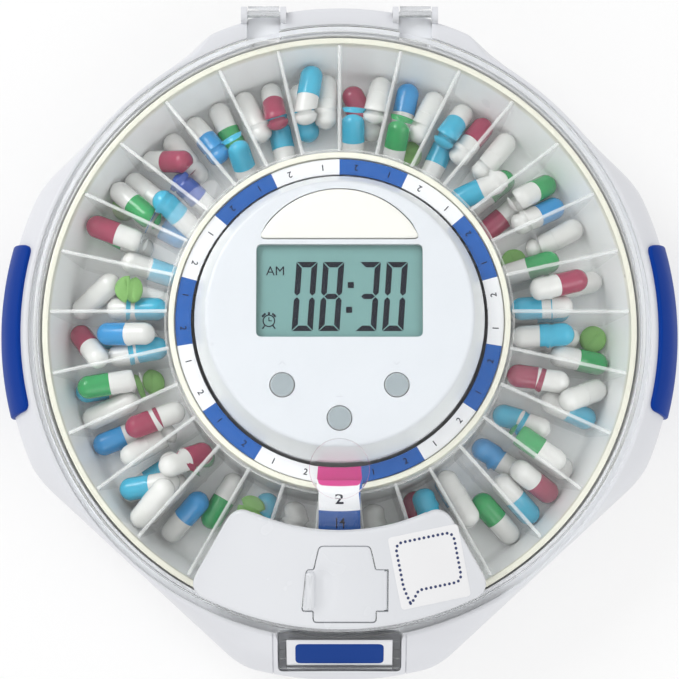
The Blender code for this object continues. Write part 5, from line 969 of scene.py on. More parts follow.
def add_grips():
    """Blue inlays over the lobes' sides: a rounded patch of arc and path length, wrapped on the wall."""
    rows = [(float(reach(np.array([0.0]))[0]), height) for reach, height, bite in OUTSIDE]
    line = rounded(rows, [bite for reach, height, bite in OUTSIDE], 6, False)
    keep = np.linspace(*GRIP_HEIGHTS, 60)
    path = np.column_stack([np.interp(keep, line[:, 1], line[:, 0]), keep])
    length = np.concatenate([[0.0], np.cumsum(np.hypot(*np.diff(path, axis=0).T))])

    def wrapped(side):
        """Lays arc length round the axis and path length up the wall, and lifts square to the wall."""

        def lay(u, v, lift):
            near, far = v - 0.0002, v + 0.0002
            ahead = np.interp(far, length, path[:, 0]) - np.interp(near, length, path[:, 0])
            rise = np.interp(far, length, path[:, 1]) - np.interp(near, length, path[:, 1])
            size = np.maximum(np.hypot(ahead, rise), NEARLY_NOTHING)
            reach = np.interp(v, length, path[:, 0]) + lift * rise / size
            height = np.interp(v, length, path[:, 1]) - lift * ahead / size
            angle = u / SIDE_REACH
            return np.column_stack([side * reach * np.cos(angle), reach * np.sin(angle), height])

        return lay

    half = GRIP_HALF_TURN * SIDE_REACH
    outline = spaced(rounded(rectangle(-half, half, 0.0, length[-1]), 0.0030, 6), 0.002)
    for side, name in ((-1, "left"), (1, "right")):
        grid = slab_grid(outline, (0.0, length[-1] / 2), wrapped(side), -0.0002, 0.0013, 0.0006, 12)
        piece(f"grip_inlay_{name}", *grid, grip_blue, "base", f"grip_{name}")


# Tray
def add_tray():
    """The tray's bowl: a profile from the rim down under the floor, up the hub and back, turned round."""
    profile = [
        (TRAY_RADIUS, TRAY_RIM_HEIGHT),
        (TRAY_RADIUS, TRAY_WALL_TOP),
        (0.0894, 0.0270),
        (0.0840, TRAY_BOTTOM),
        (HUB_INNER, TRAY_BOTTOM),
        (HUB_INNER, 0.0407),
        (0.0484, 0.0419),
        (HUB_INNER, 0.0419),
        (HUB_INNER, HUB_TOP),
        (HUB_RADIUS, HUB_TOP),
        (HUB_RADIUS, TRAY_FLOOR_TOP),
        (TRAY_FLOOR_RADIUS, TRAY_FLOOR_TOP),
        (TRAY_INNER, TRAY_WALL_TOP),
        (TRAY_INNER, TRAY_RIM_HEIGHT),
    ]
    bites = [0.0005, 0.0004, 0.0003, 0.0010, 0, 0, 0, 0, 0.0003, 0.0004, 0.0010, 0.0030, 0.0004, 0.0004]
    piece("tray_bowl", *turned_grid(profile, bites, TRAY_COLUMNS), tray_milky, "tray", "tray_pan")


def add_dividers():
    """29 upright fins from the hub to the wall, each a rounded section carried out along its radius."""
    wall_foot = TRAY_FLOOR_RADIUS - GAP
    wall_top = TRAY_INNER - 2 * GAP
    radius = np.concatenate([np.linspace(FIN_START, wall_foot, 11), [0.0842, 0.0860, wall_top]])
    bottom = np.interp(radius, [wall_foot, wall_top], [TRAY_FLOOR_TOP + 0.0006, TRAY_WALL_TOP])
    top = DIVIDER_HUB_HEIGHT + DIVIDER_SLOPE * (radius - HUB_RADIUS)
    turn = np.linspace(0.0, pi, 7)
    side = FIN_HALF * np.concatenate([np.cos(turn), [-1.0, 1.0]])
    lift = FIN_HALF * np.concatenate([np.sin(turn) - 1, [0.0, 0.0]])
    height = top[:, None] + lift
    height[:, -2:] = bottom[:, None]
    angles = (pi / 2 + turns(POCKETS))[:, None, None]
    along = radius[:, None] + 0 * side
    x = along * np.cos(angles) - side * np.sin(angles)
    y = along * np.sin(angles) + side * np.cos(angles)
    points = np.stack([x, y, height + 0 * angles], -1)
    faces = capped_faces(*height.shape)
    starts = range(0, POCKETS * height.size, height.size)
    faces = [[corner + start for corner in face] for start in starts for face in faces]
    piece("tray_fins", points, faces, fin_clear, "tray", "tray_dividers")
    (inner, outer), (low, high) = SLEEVE_RADII, SLEEVE_HEIGHTS
    profile = [(outer, high), (outer, low), (inner, low), (inner, high)]
    grid = turned_grid(profile, 0.0002, TRAY_COLUMNS)
    piece("tray_fin_sleeve", *grid, fin_clear, "tray", "tray_dividers")


def add_dose_ring():
    """The printed ring, with a tab at its front that steps over the hub and slopes down."""
    high, low = DOSE_RING_TOP, DOSE_RING_TOP - DOSE_RING_THICKNESS
    outer, inner = DOSE_RING_OUTER, DOSE_RING_INNER
    profile = [(outer, high), (outer, low), (inner, low), (inner, high)]
    piece("dose_band", *turned_grid(profile, 0.00012, TRAY_COLUMNS), ring_print, "tray", "dose_ring")
    step, thick = DOSE_TAB_STEP, DOSE_TAB_THICKNESS
    end = step + DIVIDER_SLOPE * (DOSE_TAB_REACH - HUB_RADIUS - GAP)
    outline = [
        (-DOSE_TAB_START, high - thick / 2),
        (-DOSE_TAB_START, step + thick),
        (-DOSE_TAB_KNEE, step + thick),
        (-DOSE_TAB_REACH, end + thick),
        (-DOSE_TAB_REACH, end),
        (-DOSE_TAB_KNEE, step),
        (-DOSE_TAB_HEEL, step),
        (-DOSE_TAB_HEEL, high - thick / 2),
    ]
    half = DOSE_TAB_WIDTH / 2
    tab = piece("dose_flag", *across_grid(outline, -half, half, 0.0003), ring_print, "tray", "dose_ring")
    carve(tab, *(corner_grid(side * half, -DOSE_TAB_REACH, side, DOSE_TAB_CORNER) for side in (-1, 1)))


def corner_grid(x, y, side, radius, past=0.001):
    """What a plan corner loses when it is rounded: a square less a quarter disc, carried up."""
    angles = np.linspace(0.0, pi / 2, 7)
    arc = np.column_stack([x - side * radius * (1 - np.sin(angles)), y + radius * (1 - np.cos(angles))])
    beyond = [(x + side * past, y + radius), (x + side * past, y - past), (x - side * radius, y - past)]
    return upright_grid(np.vstack([arc, beyond]), 0.0380, 0.0470)


# Lettering
def lettering(text, size, weight=0.012):
    """Points and faces of flat letters, centred on the origin; weight is what their strokes gain."""
    curve = bpy.data.curves.new("letters", "FONT")
    curve.body = text
    curve.size = size
    curve.align_x = "CENTER"
    curve.align_y = "CENTER"
    curve.resolution_u = 4
    curve.offset = size * weight
    made = new_object("letters", curve)
    graph = bpy.context.evaluated_depsgraph_get()
    mesh = bpy.data.meshes.new_from_object(made.evaluated_get(graph))
    flat = np.empty(len(mesh.vertices) * 3)
    mesh.vertices.foreach_get("co", flat)
    faces = [list(polygon.vertices) for polygon in mesh.polygons]
    bpy.data.objects.remove(made)
    bpy.data.curves.remove(curve)
    bpy.data.meshes.remove(mesh)
    return flat.reshape(-1, 3)[:, :2], faces


def printed(name, marks, lay, finish, body, slot):
    """Flat marks laid on a surface, a hair thick. Each mark is its points, faces, place and turn."""
    points, faces = [], []
    for flat, shapes, place, turn in marks:
        start = sum(len(part) for part in points)
        u = flat[:, 0] * cos(turn) - flat[:, 1] * sin(turn) + place[0]
        v = flat[:, 0] * sin(turn) + flat[:, 1] * cos(turn) + place[1]
        points.append(lay(u, v, INK_LIFT))
        faces += [[corner + start for corner in shape] for shape in shapes]
    mesh = bpy.data.meshes.new(name)
    placed = np.concatenate(points) + (0.0, AXIS_Y, 0.0)
    mesh.from_pydata(placed.tolist(), [], faces)
    obj = new_object(name, mesh)
    thick = obj.modifiers.new("thickness", "SOLIDIFY")
    thick.thickness = INK_THICKNESS
    thick.offset = 0.0
    belong(obj, finish, body, slot=slot)


def add_dose_numbers():
    """2 and 1 by turns, clockwise from home, one to a pocket, their tops to the middle."""
    one, two = lettering("1", 0.0026), lettering("2", 0.0026)
    marks = []
    for pocket in range(POCKETS - 1):
        clockwise = pi + (pocket + 1) * tau / POCKETS
        place = (DOSE_DIGIT_RADIUS * sin(clockwise), DOSE_DIGIT_RADIUS * cos(clockwise))
        marks.append((*(one if pocket % 2 else two), place, pi - clockwise))
    printed("dose_numbers", marks, level(DOSE_RING_TOP), print_ink, "tray", "ring_print")


def on_tab(u, v, lift):
    """Lays a drawing on the tab's sloping top, with v = 0 at the tab's knee."""
    height = DOSE_TAB_STEP + DOSE_TAB_THICKNESS - DIVIDER_SLOPE * v + lift
    return np.stack([u, v - DOSE_TAB_KNEE, height], -1)


def add_tab_numbers():
    """The digits on the tab: a large one near the ring and smaller ones on the blue band."""
    for name, digits, size, v in (("tab_doses", "2", 0.0052, -0.0022), ("tab_days", "14", 0.0034, -0.0092)):
        printed(name, [(*lettering(digits, size), (0.0, v), 0.0)], on_tab, print_ink, "tray", "ring_print")


# Display head
def arch_outline():
    """Flat below, with one arc over the top, counterclockwise."""
    start = atan2(ALARM_BOTTOM - ALARM_CENTRE, ALARM_HALF_WIDTH)
    past = start + 0.19
    angles = np.concatenate([[start], np.linspace(past, pi - past, 41), [pi - start]])
    return np.column_stack([ALARM_ARC * np.cos(angles), ALARM_CENTRE + ALARM_ARC * np.sin(angles)])


def crowned(u, v, lift):
    """Level on the head's face; a lifted point also swells between the arch's flat side and its arc."""
    arc = ALARM_CENTRE + np.sqrt(np.maximum(ALARM_ARC**2 - u**2, 0.0))
    share = np.clip((v - ALARM_BOTTOM) * (arc - v) / (ALARM_RISE / 2) ** 2, 0.0, 1.0)
    swell = 0.0008 * np.sqrt(share) if lift > 0 else 0.0
    return np.column_stack([u, v, HEAD_TOP + lift + swell + 0.0 * u])


ARCH = arch_outline()
ARCH_BITES = np.where(np.arange(len(ARCH)) % (len(ARCH) - 1) == 0, 0.0046, 0.0)
WINDOW_HALVES = WINDOW_SIZE[0] / 2, WINDOW_SIZE[1] / 2
WINDOW = [(x * WINDOW_HALVES[0], WINDOW_Y + y * WINDOW_HALVES[1]) for x, y in rectangle(-1, 1, -1, 1)]
WINDOW = rounded(WINDOW, 0.0014, 5)


def add_head():
    """The display head's cover, with its window, alarm light and three button holes cut through."""
    profile = [
        (0.0, HEAD_TOP),
        (HEAD_FACE_RADIUS, HEAD_TOP),
        (COLUMN_RADIUS, HEAD_SKIRT_TOP),
        (COLUMN_RADIUS, HEAD_SKIRT_FOOT),
        (COLUMN_RADIUS - WALL, HEAD_SKIRT_FOOT),
        (COLUMN_RADIUS - WALL, HEAD_SKIRT_TOP),
        (HEAD_FACE_RADIUS - WALL, HEAD_TOP - WALL),
        (0.0, HEAD_TOP - WALL),
    ]
    bites = [0.0, 0.0011, 0.0006, 0.0003] + [0.0] * 4
    cover = piece("head_shell", *turned_grid(profile, bites, 240, False), head_white, "base", "head_cover")
    cuts = [
        upright_grid(WINDOW + outward_of(WINDOW) * GAP, *HEAD_CUT),
        upright_grid(ARCH + outward_of(ARCH) * GAP, *HEAD_CUT, ARCH_BITES),
    ]
    low, high = HEAD_CUT
    narrow, wide = BUTTON_HOLE_RADIUS, BUTTON_HOLE_RADIUS + 0.0002
    hole = [(0.0, low), (narrow, low), (narrow, 0.0558), (wide, 0.0561), (wide, high), (0.0, high)]
    cuts += [turned_grid(hole, 0.0, 64, False, spot) for spot in BUTTON_SPOTS.values()]
    carve(cover, *cuts)


def add_head_inlays():
    """The display's flat window and the alarm light's crowned cap."""
    grid = slab_grid(WINDOW, (0.0, WINDOW_Y), level(WINDOW_FOOT), 0.0, 0.0012, 0.0002, 2)
    piece("display_window", *grid, window_clear, "base", "lcd_window")
    grid = slab_grid(rounded(ARCH, ARCH_BITES, 6), (0.0, 0.0275), crowned, -0.0016, 0.0004, 0.0004, 10)
    piece("alarm_cap", *grid, alarm_cream, "base", "alarm_lens")


def add_buttons():
    """Three round buttons: a shallow dish on a collar and a stem, turned about an upright axis."""
    top = HEAD_TOP + 0.0005
    collar_foot, collar_top = BUTTON_COLLAR
    profile = [
        (0.0, top - 0.0002),
        (0.0024, top - 0.0001),
        (BUTTON_RADIUS, top),
        (BUTTON_RADIUS, collar_top),
        (BUTTON_COLLAR_RADIUS, collar_top),
        (BUTTON_COLLAR_RADIUS, collar_foot),
        (BUTTON_STEM_RADIUS, collar_foot),
        (BUTTON_STEM_RADIUS, BUTTON_STEM_FOOT),
        (0.0, BUTTON_STEM_FOOT),
    ]
    bites = [0.0, 0.0006, 0.0005] + [0.0] * 6
    for key, spot in BUTTON_SPOTS.items():
        grid = turned_grid(profile, bites, 64, False, spot)
        piece(f"key_{key}", *grid, button_grey, f"{key}_key", f"button_{key}")


SEGMENTS = {"0": "abcdef", "3": "abcdg", "8": "abcdefg"}


def lcd_digit(text, width=0.0063, height=0.0208, stroke=0.0018, lean=0.07, space=0.0002):
    """The lit segments of a seven-segment digit: mitred bars, leaning to the right."""
    w, h, s, mid = width / 2, height / 2, stroke, stroke / 2
    bars = {
        "a": [(-w, h), (w, h), (w - s, h - s), (-w + s, h - s)],
        "d": [(-w + s, -h + s), (w - s, -h + s), (w, -h), (-w, -h)],
        "f": [(-w, h), (-w + s, h - s), (-w + s, mid), (-w + mid, 0), (-w, mid)],
        "b": [(w, h), (w, mid), (w - mid, 0), (w - s, mid), (w - s, h - s)],
        "e": [(-w, -mid), (-w + mid, 0), (-w + s, -mid), (-w + s, -h + s), (-w, -h)],
        "c": [(w, -h), (w - s, -h + s), (w - s, -mid), (w - mid, 0), (w, -mid)],
        "g": [(-w + mid, 0), (-w + s, mid), (w - s, mid), (w - mid, 0), (w - s, -mid), (-w + s, -mid)],
    }
    points, faces = [], []
    for bar in SEGMENTS[text]:
        flat = np.array(bars[bar], float)
        middle = flat.mean(0)
        reach = np.linalg.norm(flat - middle, axis=1, keepdims=True)
        flat = flat - (flat - middle) / reach * space
        faces.append(list(range(len(points), len(points) + len(flat))))
        points += [(x + y * lean, y) for x, y in flat]
    return np.array(points), faces


def ring_mark(radius, stroke, count=28):
    """A flat ring."""
    angles = np.linspace(0.0, tau, count)
    way = np.column_stack([np.cos(angles), np.sin(angles)])
    faces = [[i, i + 1, count + i + 1, count + i] for i in range(count - 1)]
    return np.vstack([way * (radius - stroke / 2), way * (radius + stroke / 2)]), faces


def bar_mark(start, end, stroke):
    """A straight flat stroke between two points."""
    start, end = np.array(start), np.array(end)
    along = (end - start) / np.linalg.norm(end - start)
    side = np.array([-along[1], along[0]]) * stroke / 2
    return np.array([start - side, end - side, end + side, start + side]), [[0, 1, 2, 3]]


def clock_marks(place):
    """An alarm clock: a ring, two hands, two bells, a knob and two feet."""
    strokes = [
        ((0.0, -0.0001), (0.0, 0.0011), 0.0003),
        ((0.0, 0.0), (0.0009, 0.0), 0.0003),
        ((-0.0020, 0.0012), (-0.0010, 0.0022), 0.0006),
        ((0.0020, 0.0012), (0.0010, 0.0022), 0.0006),
        ((-0.0012, -0.0014), (-0.0019, -0.0024), 0.0004),
        ((0.0012, -0.0014), (0.0019, -0.0024), 0.0004),
        ((0.0, 0.0018), (0.0, 0.0026), 0.0006),
    ]
    shapes = [ring_mark(0.0017, 0.00035)] + [bar_mark(*stroke) for stroke in strokes]
    return [(*shape, place, 0.0) for shape in shapes]


def add_button_marks():
    """Faint arrow heads moulded over the outer buttons, and a short bar over the middle one."""
    width, half, stroke = 0.0010, 0.0005, 0.00028
    rise, fall = (
        [bar_mark((x, -tip), (0.0, tip), stroke) for x in (-width, width)] for tip in (half, -half)
    )
    rule = [bar_mark((-width, 0.0), (width, 0.0), stroke)]
    marks = []
    for key, bars in (("left", rise), ("right", fall), ("middle", rule)):
        x, y = BUTTON_SPOTS[key]
        marks += [(*bar, (x, y + 0.0064), 0.0) for bar in bars]
    printed("button_marks", marks, level(HEAD_TOP), mark_grey, "base", "display_white")


def add_display():
    """The clock's digits, AM, and a small alarm clock mark."""
    middle = 0.0052
    digits = zip("0830", (-0.0103, -0.0024, 0.0084, 0.0164))
    marks = [(*lcd_digit(text), (x, middle), 0.0) for text, x in digits]
    dot = np.array(rectangle(-0.0009, 0.0009, -0.0009, 0.0009)), [[0, 1, 2, 3]]
    marks += [(*dot, (x, middle + y), 0.0) for x, y in ((0.003338, 0.0034), (0.00282, -0.0040))]
    marks.append((*lettering("AM", 0.0039, 0.0), (-0.0189, 0.0127), 0.0))
    marks += clock_marks((-0.0208, -0.0021))
    printed("display_digits", marks, level(LCD_TOP), lcd_ink, "base", "lcd_face")


# Lid
DOME_RADII = np.array([0.0, 0.0130, 0.0270, 0.0420, 0.0530, 0.0627])
DOME_DROPS = np.array([0.0, 0.00012, 0.0006, 0.0019, 0.0042, 0.0089])


def dome_fit():
    """Even powers of the radius that pass near the dome's drops below its crown."""
    powers = np.stack([(DOME_RADII[1:] / DOME_RADII[-1]) ** p for p in (2, 4, 8)], -1)
    return np.linalg.lstsq(powers, DOME_DROPS[1:], rcond=None)[0]


DOME = dome_fit()


def dome_height(radius):
    """The dome's upper face: its top less the fitted powers of the radius."""
    return LID_TOP - sum(share * (radius / DOME_RADII[-1]) ** p for share, p in zip(DOME, (2, 4, 8)))


def tongue_line(drop):
    """The tongue's side view, a drop below its upper face: level to the knee, then down."""
    return [
        (-LID_WALL_RADIUS + LID_WALL, LID_FOOT - drop),
        (-TONGUE_KNEE_REACH + drop * tan(TONGUE_SLOPE / 2), TONGUE_KNEE_HEIGHT - drop),
        (-TONGUE_REACH + drop * sin(TONGUE_SLOPE), TONGUE_END_HEIGHT - drop * cos(TONGUE_SLOPE)),
    ]


def add_lid():
    """The clear lid: a turned shell joined with its tongue and hinge tabs, cut open, and two latch legs."""
    wall = LID_WALL
    crown = np.linspace(0.0, LID_CROWN_RADIUS, 26)
    outside = [(radius, dome_height(radius)) for radius in crown] + [
        LID_LIP,
        (LID_STEP_RADIUS, LID_STEP_HEIGHT),
        (LID_SLOPE_RADIUS, LID_SLOPE_HEIGHT),
        (LID_WALL_RADIUS, LID_WALL_HEIGHT),
        (LID_WALL_RADIUS, LID_FOOT),
        (LID_FLANGE_RADIUS, LID_FOOT),
        (LID_FLANGE_RADIUS, LID_SEAT),
    ]
    inside = [
        (LID_WALL_RADIUS - wall, LID_SEAT),
        (LID_WALL_RADIUS - wall, LID_WALL_HEIGHT - wall / 2),
        (LID_STEP_RADIUS - wall, LID_STEP_HEIGHT + (wall * sin(LID_SLOPE) - wall) * cos(LID_SLOPE)),
    ]
    under = [radius for radius in crown[::-1] if radius < LID_CROWN_RADIUS - 0.0015]
    inside += [(radius, dome_height(radius) - wall) for radius in under]
    bites = [0.0] * len(crown) + [0.0003, 0.0003, 0.0006, 0.0006, 0.0003, 0.0003, 0.0003]
    bites += [0.0003, 0.0003, 0.0003] + [0.0] * len(under)
    lid = piece("lid_dome", *turned_grid(outside + inside, bites, 360, False), lid_clear, "lid", "lid_shell")
    half = TONGUE_HALF_WIDTH
    outline = tongue_line(0.0) + tongue_line(wall)[::-1]
    joins = [across_grid(outline, -half, half, [0.0, 0.0006, 0.0004, 0.0004, 0.0006, 0.0])]
    turn = np.linspace(-pi / 2, pi / 2, 25)
    y, z = HINGE_Y + KNUCKLE_RADIUS * np.cos(turn), HINGE_HEIGHT + KNUCKLE_RADIUS * np.sin(turn)
    front = HINGE_TAB_FRONT
    tab = np.vstack([[(front, LID_SEAT)], np.column_stack([y, z]), [(front, HINGE_TAB_TOP)]])
    across = HINGE_TAB_HALF_WIDTH
    joins += [across_grid(tab, x - across, x + across) for x in (-HINGE_TAB_X, HINGE_TAB_X)]
    carve(lid, *joins, operation="UNION")
    bar = half - 0.0018
    window = rounded(rectangle(-bar, bar, -TONGUE_REACH + 0.0011, -0.0943), 0.0008, 4)
    middle, normal = lens_seat()
    room = LENS_RADIUS + 0.0001
    profile = [(0.0, -0.006), (room, -0.006), (room, 0.006), (0.0, 0.006)]
    points, faces = turned_grid(profile, 0.0, 96, False)
    cuts = [
        upright_grid(window, RECESS_FLOOR, LID_TOP),
        upright_grid(rectangle(*HATCH_OPENING), SEAT_HEIGHT, LID_TOP, 0.0008),
        (leaning(points, middle, normal), faces),
    ]
    carve(lid, *cuts)
    end = TONGUE_KNEE_HEIGHT + (LATCH_LEG_Y[0] + TONGUE_KNEE_REACH) * tan(TONGUE_SLOPE) - wall / 2
    leg = rectangle(*LATCH_LEG_Y, LATCH_LEG_FOOT, end)
    for side, name in ((-1, "left"), (1, "right")):
        grid = across_grid(leg, *sorted((side * (half - 0.00015), side * (half - 0.00175))))
        piece(f"latch_leg_{name}", *grid, lid_clear, "lid", "lid_shell")


def lens_seat():
    """The middle of the magnifying lens on the dome, and the way that it faces."""
    radius = -LENS_Y
    lean = (dome_height(radius - 0.0001) - dome_height(radius + 0.0001)) / 0.0002
    return Vector((0.0, LENS_Y, dome_height(radius))), Vector((0.0, -lean, 1.0)).normalized()


def leaning(points, middle, normal):
    """Points drawn about the Z axis, turned to face a normal and moved to a middle."""
    turn = np.array(normal.to_track_quat("Z", "Y").to_matrix())
    return points @ turn.T + np.array(middle)


def add_lens():
    """The magnifying bead over the home pocket: a crown between a flat band and a flat back."""
    middle, normal = lens_seat()
    radius = np.linspace(0.0, LENS_RADIUS - 0.0012, 16)
    crown = [(r, 0.0011 - 0.00085 * (r / radius[-1]) ** 2) for r in radius]
    profile = crown + [(LENS_RADIUS, 0.0003), (LENS_RADIUS, LENS_BACK), (0.0, LENS_BACK)]
    points, faces = turned_grid(profile, [0.0] * len(crown) + [0.0002, 0.0002, 0.0], 96, False)
    piece("lens_bead", leaning(points, middle, normal), faces, lens_clear, "lid", "magnifier_lens")


# Hatch
def fan_outline():
    """A band of the cone between two radii, counterclockwise, its four corners cut by quadratic curves.

    A corner's curve runs from a bite before it to a bite after it, and the points within a bite of it go.
    """
    steps = (61, 45)
    outer, inner = FAN_HALF_TURNS
    angles = np.linspace(-outer, outer, steps[0]), np.linspace(inner, -inner, steps[1])
    sides = [np.column_stack([r * np.sin(a), -r * np.cos(a)]) for r, a in zip(FAN_RADII, angles)]
    line = np.concatenate(sides)
    at = [0, steps[0] - 1, steps[0], sum(steps) - 1]
    corners = line[at]
    ways = np.stack([np.roll(line, 1, 0)[at], np.roll(line, -1, 0)[at]]) - corners
    start, end = corners + FAN_BITE * ways / np.linalg.norm(ways, axis=-1, keepdims=True)
    share = np.linspace(0.0, 1.0, 9)[:, None, None]
    rounds = (1 - share) ** 2 * start + 2 * share * (1 - share) * corners + share**2 * end
    clear_of = [np.linalg.norm(side[:, None] - corners, axis=-1).min(1) > FAN_BITE for side in sides]
    outer, inner = (side[kept] for side, kept in zip(sides, clear_of))
    parts = [rounds[:, 0], outer, rounds[:, 1], rounds[:, 2], inner, rounds[:, 3]]
    return spaced(np.concatenate(parts), 0.0015)


DOOR = [
    (-0.0073, -0.0676),
    (-0.0089, -0.0742),
    (-0.0110, -0.0742),
    (-0.0124, -0.0857),
    (-0.0091, -0.0857),
    (-0.0091, -0.0889),
    (0.0091, -0.0889),
    (0.0091, -0.0857),
    (0.0117, -0.0857),
    (0.0117, -0.0742),
    (0.0089, -0.0742),
    (0.0073, -0.0676),
]
DOOR_BITES = [0.0012, 0.0006, 0.0008, 0.0008, 0.0006, 0.0010, 0.0010, 0.0006, 0.0005, 0.0005, 0.0006, 0.0012]


def add_hatch():
    """The fan-shaped plate with the flip door's opening, and the door with its finger ridge."""
    grid = slab_grid(fan_outline(), (0.0, -0.0815), on_slope, 0.0, PLATE_TOP, 0.0009, 16)
    plate = piece("hatch_fan", *grid, hatch_white, "lid", "hatch_plate")
    outline = spaced(rounded(np.array(DOOR) + (DOOR_X, 0.0), DOOR_BITES, 5), 0.0008)
    middle = (DOOR_X, -0.0795)
    room = outline + outward_of(outline) * 0.00032
    barrel_room = np.array(rectangle(DOOR_HINGE_X - 0.0008, DOOR_HINGE_X + 0.0011, -0.0860, -0.0739))
    barrel_room = spaced(barrel_room, 0.0006)
    rooms = ((room, middle), (barrel_room, barrel_room.mean(0)))
    cuts = [slab_grid(edge, at, on_slope, -0.0040, 0.0060, 0.00001, 2) for edge, at in rooms]
    carve(plate, *cuts)

    def scooped(u, v, lift):
        """The door's face sinks in a thumb scoop to the right of the ridge."""
        near = np.exp(-(((u + 0.0045) / 0.0022) ** 2) - ((v + 0.0795) / 0.0052) ** 4)
        return on_slope(u, v, lift - (0.0007 * near if lift > PLATE_TOP / 2 else 0.0))

    grid = slab_grid(outline, middle, scooped, GAP, PLATE_TOP, 0.0003, 14)
    piece("hatch_flap", *grid, hatch_white, "hatch", "hatch_door")
    ridge = rounded(rectangle(-0.0098, -0.0072, -0.0853, -0.0746), 0.0011, 5)
    grid = slab_grid(ridge, (-0.0085, -0.0799), on_slope, GAP, PLATE_TOP + 0.0013, 0.0010, 5)
    piece("hatch_ridge", *grid, hatch_white, "hatch", "hatch_door")
    angles = turns(24)
    radius = PLATE_THICKNESS / 2
    across, lift = DOOR_HINGE_X + radius * np.cos(angles), GAP + radius + radius * np.sin(angles)
    ends = [on_slope(across, np.full(24, v), lift) for v in (-0.0854, -0.0745)]
    piece("hatch_barrel", np.array(ends), capped_faces(2, 24), hatch_white, "hatch", "hatch_door")


def on_sticker(u, v, lift):
    """Lays a drawing on the hatch plate about the sticker's middle, turned as the sticker is."""
    x = STICKER_PLACE[0] + u * cos(STICKER_TURN) - v * sin(STICKER_TURN)
    y = STICKER_PLACE[1] + u * sin(STICKER_TURN) + v * cos(STICKER_TURN)
    return on_slope(x, y, lift + PLATE_TOP)


def add_sticker():
    """A blank paper sticker with the dotted border of a speech bubble."""
    half = STICKER_HALF
    outline = spaced(rounded(rectangle(-half, half, -half, half), 0.0012, 5), 0.0025)
    grid = slab_grid(outline, (0.0, 0.0), on_sticker, 0.0, STICKER_THICKNESS, 0.00002, 8)
    piece("sticker", *grid, sticker_white, "lid", slot="hatch_white")
    bubble = [(-0.0074, -0.0093), (-0.0044, -0.0058), (0.0086, -0.0058)]
    bubble += [(0.0086, 0.0084), (-0.0086, 0.0084), (-0.0086, -0.0044)]
    bubble = rounded(bubble, [0.0003, 0.0006, 0.0024, 0.0024, 0.0024, 0.0012], 6)
    closed = np.vstack([bubble, bubble[:1]])
    steps = np.concatenate([[0.0], np.cumsum(np.hypot(*np.diff(closed, axis=0).T))])
    at = np.arange(0.0, steps[-1], DOT_PITCH)
    places = zip(np.interp(at, steps, closed[:, 0]), np.interp(at, steps, closed[:, 1]))
    angles = turns(8)
    dot = DOT_RADIUS * np.column_stack([np.cos(angles), np.sin(angles)]), [list(range(8))]
    marks = [(*dot, place, 0.0) for place in places]

    def on_paper(u, v, lift):
        """Lays a mark on the sticker's face."""
        return on_sticker(u, v, lift + STICKER_THICKNESS)

    printed("sticker_border", marks, on_paper, sticker_ink, "lid", "hatch_white")


# Release button
def on_button(u, v, lift):
    """Lays a drawing down the button's face: level as far as the knee, then down the tongue's slope."""
    past = np.maximum(v, 0.0)
    lean = np.where(v > 0, TONGUE_SLOPE, 0.0)
    y = -TONGUE_KNEE_REACH - np.minimum(v, 0.0) - past * np.cos(lean) - lift * np.sin(lean)
    return np.column_stack([u, y, RELEASE_TOP - past * np.sin(lean) + lift * np.cos(lean)])


def add_release():
    """The button that stands in the tongue's window, and its blue label with a white border."""
    front, rear, foot, top = RELEASE_FRONT, RELEASE_REAR, RELEASE_FOOT, RELEASE_TOP
    half, wall = RELEASE_HALF_WIDTH, RELEASE_WALL
    end = top - (-front - TONGUE_KNEE_REACH) * tan(TONGUE_SLOPE)
    outline = [(front, foot), (rear, foot), (rear, top), (-TONGUE_KNEE_REACH, top), (front, end)]
    grid = across_grid(outline, -half, half, [0.0, 0.0, 0.0, 0.0008, 0.0005])
    button = piece("release_key", *grid, label_white, "release", "release_button")
    hollow = rectangle(front + wall, rear - wall, 0.0170, 0.0216)
    carve(button, across_grid(hollow, wall - half, half - wall))
    labels = (("edge", 0.0, 0.0, 0.00008, label_white), ("face", 0.0006, 0.00008, 0.00014, label_blue))
    for name, inset, low, high, finish in labels:
        across = 0.0138 - inset
        flat = rectangle(-across, across, 0.0002 + inset, 0.0097 - inset)
        flat = rounded(flat, 0.0020 - inset / 2, 6)
        grid = slab_grid(flat, (0.0, 0.0048), on_button, low, high, 0.00002, 3)
        piece(f"release_label_{name}", *grid, finish, "release", slot="release_blue")


def add_spring():
    """The coil spring: a round wire carried up a helix."""
    radius, wire, bottom = SPRING_RADIUS, SPRING_WIRE, RECESS_FLOOR + GAP
    angle = np.linspace(0.0, tau * SPRING_TURNS, 24 * SPRING_TURNS + 1)
    height = np.linspace(bottom + wire, SPRING_TOP - wire, len(angle))
    outward = np.stack([np.cos(angle), np.sin(angle), 0 * angle], -1)
    rise = height[1] - height[0] + 0 * angle
    along = np.stack([-radius * np.sin(angle), radius * np.cos(angle), rise], -1)
    across = np.cross(along, outward)
    across /= np.linalg.norm(across, axis=1)[:, None]
    middle = outward * radius + np.stack([0 * angle, SPRING_Y + 0 * angle, height], -1)
    round_wire = turns(10)[:, None]
    section = outward[:, None] * np.cos(round_wire) + across[:, None] * np.sin(round_wire)
    points = middle[:, None] + wire * section
    coil = piece("release_coil", points, capped_faces(len(angle), 10), steel, "base", "release_spring")
    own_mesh(coil)


# Pills
def capsule_half(cap):
    """Half a capsule along +X: a straight side and a round end; the cap is a little wider."""
    radius = CAPSULE_RADIUS + (0.00012 if cap else 0.0)
    turn = np.linspace(0.0, pi / 2, 10)
    x = np.concatenate([[-0.0006, -0.0006, -0.0005], CAPSULE_HALF - radius + radius * np.sin(turn)])
    r = np.concatenate([[0.0, radius - 0.0002, radius], radius * np.cos(turn)])
    return turned_about_x(x, r, 28)


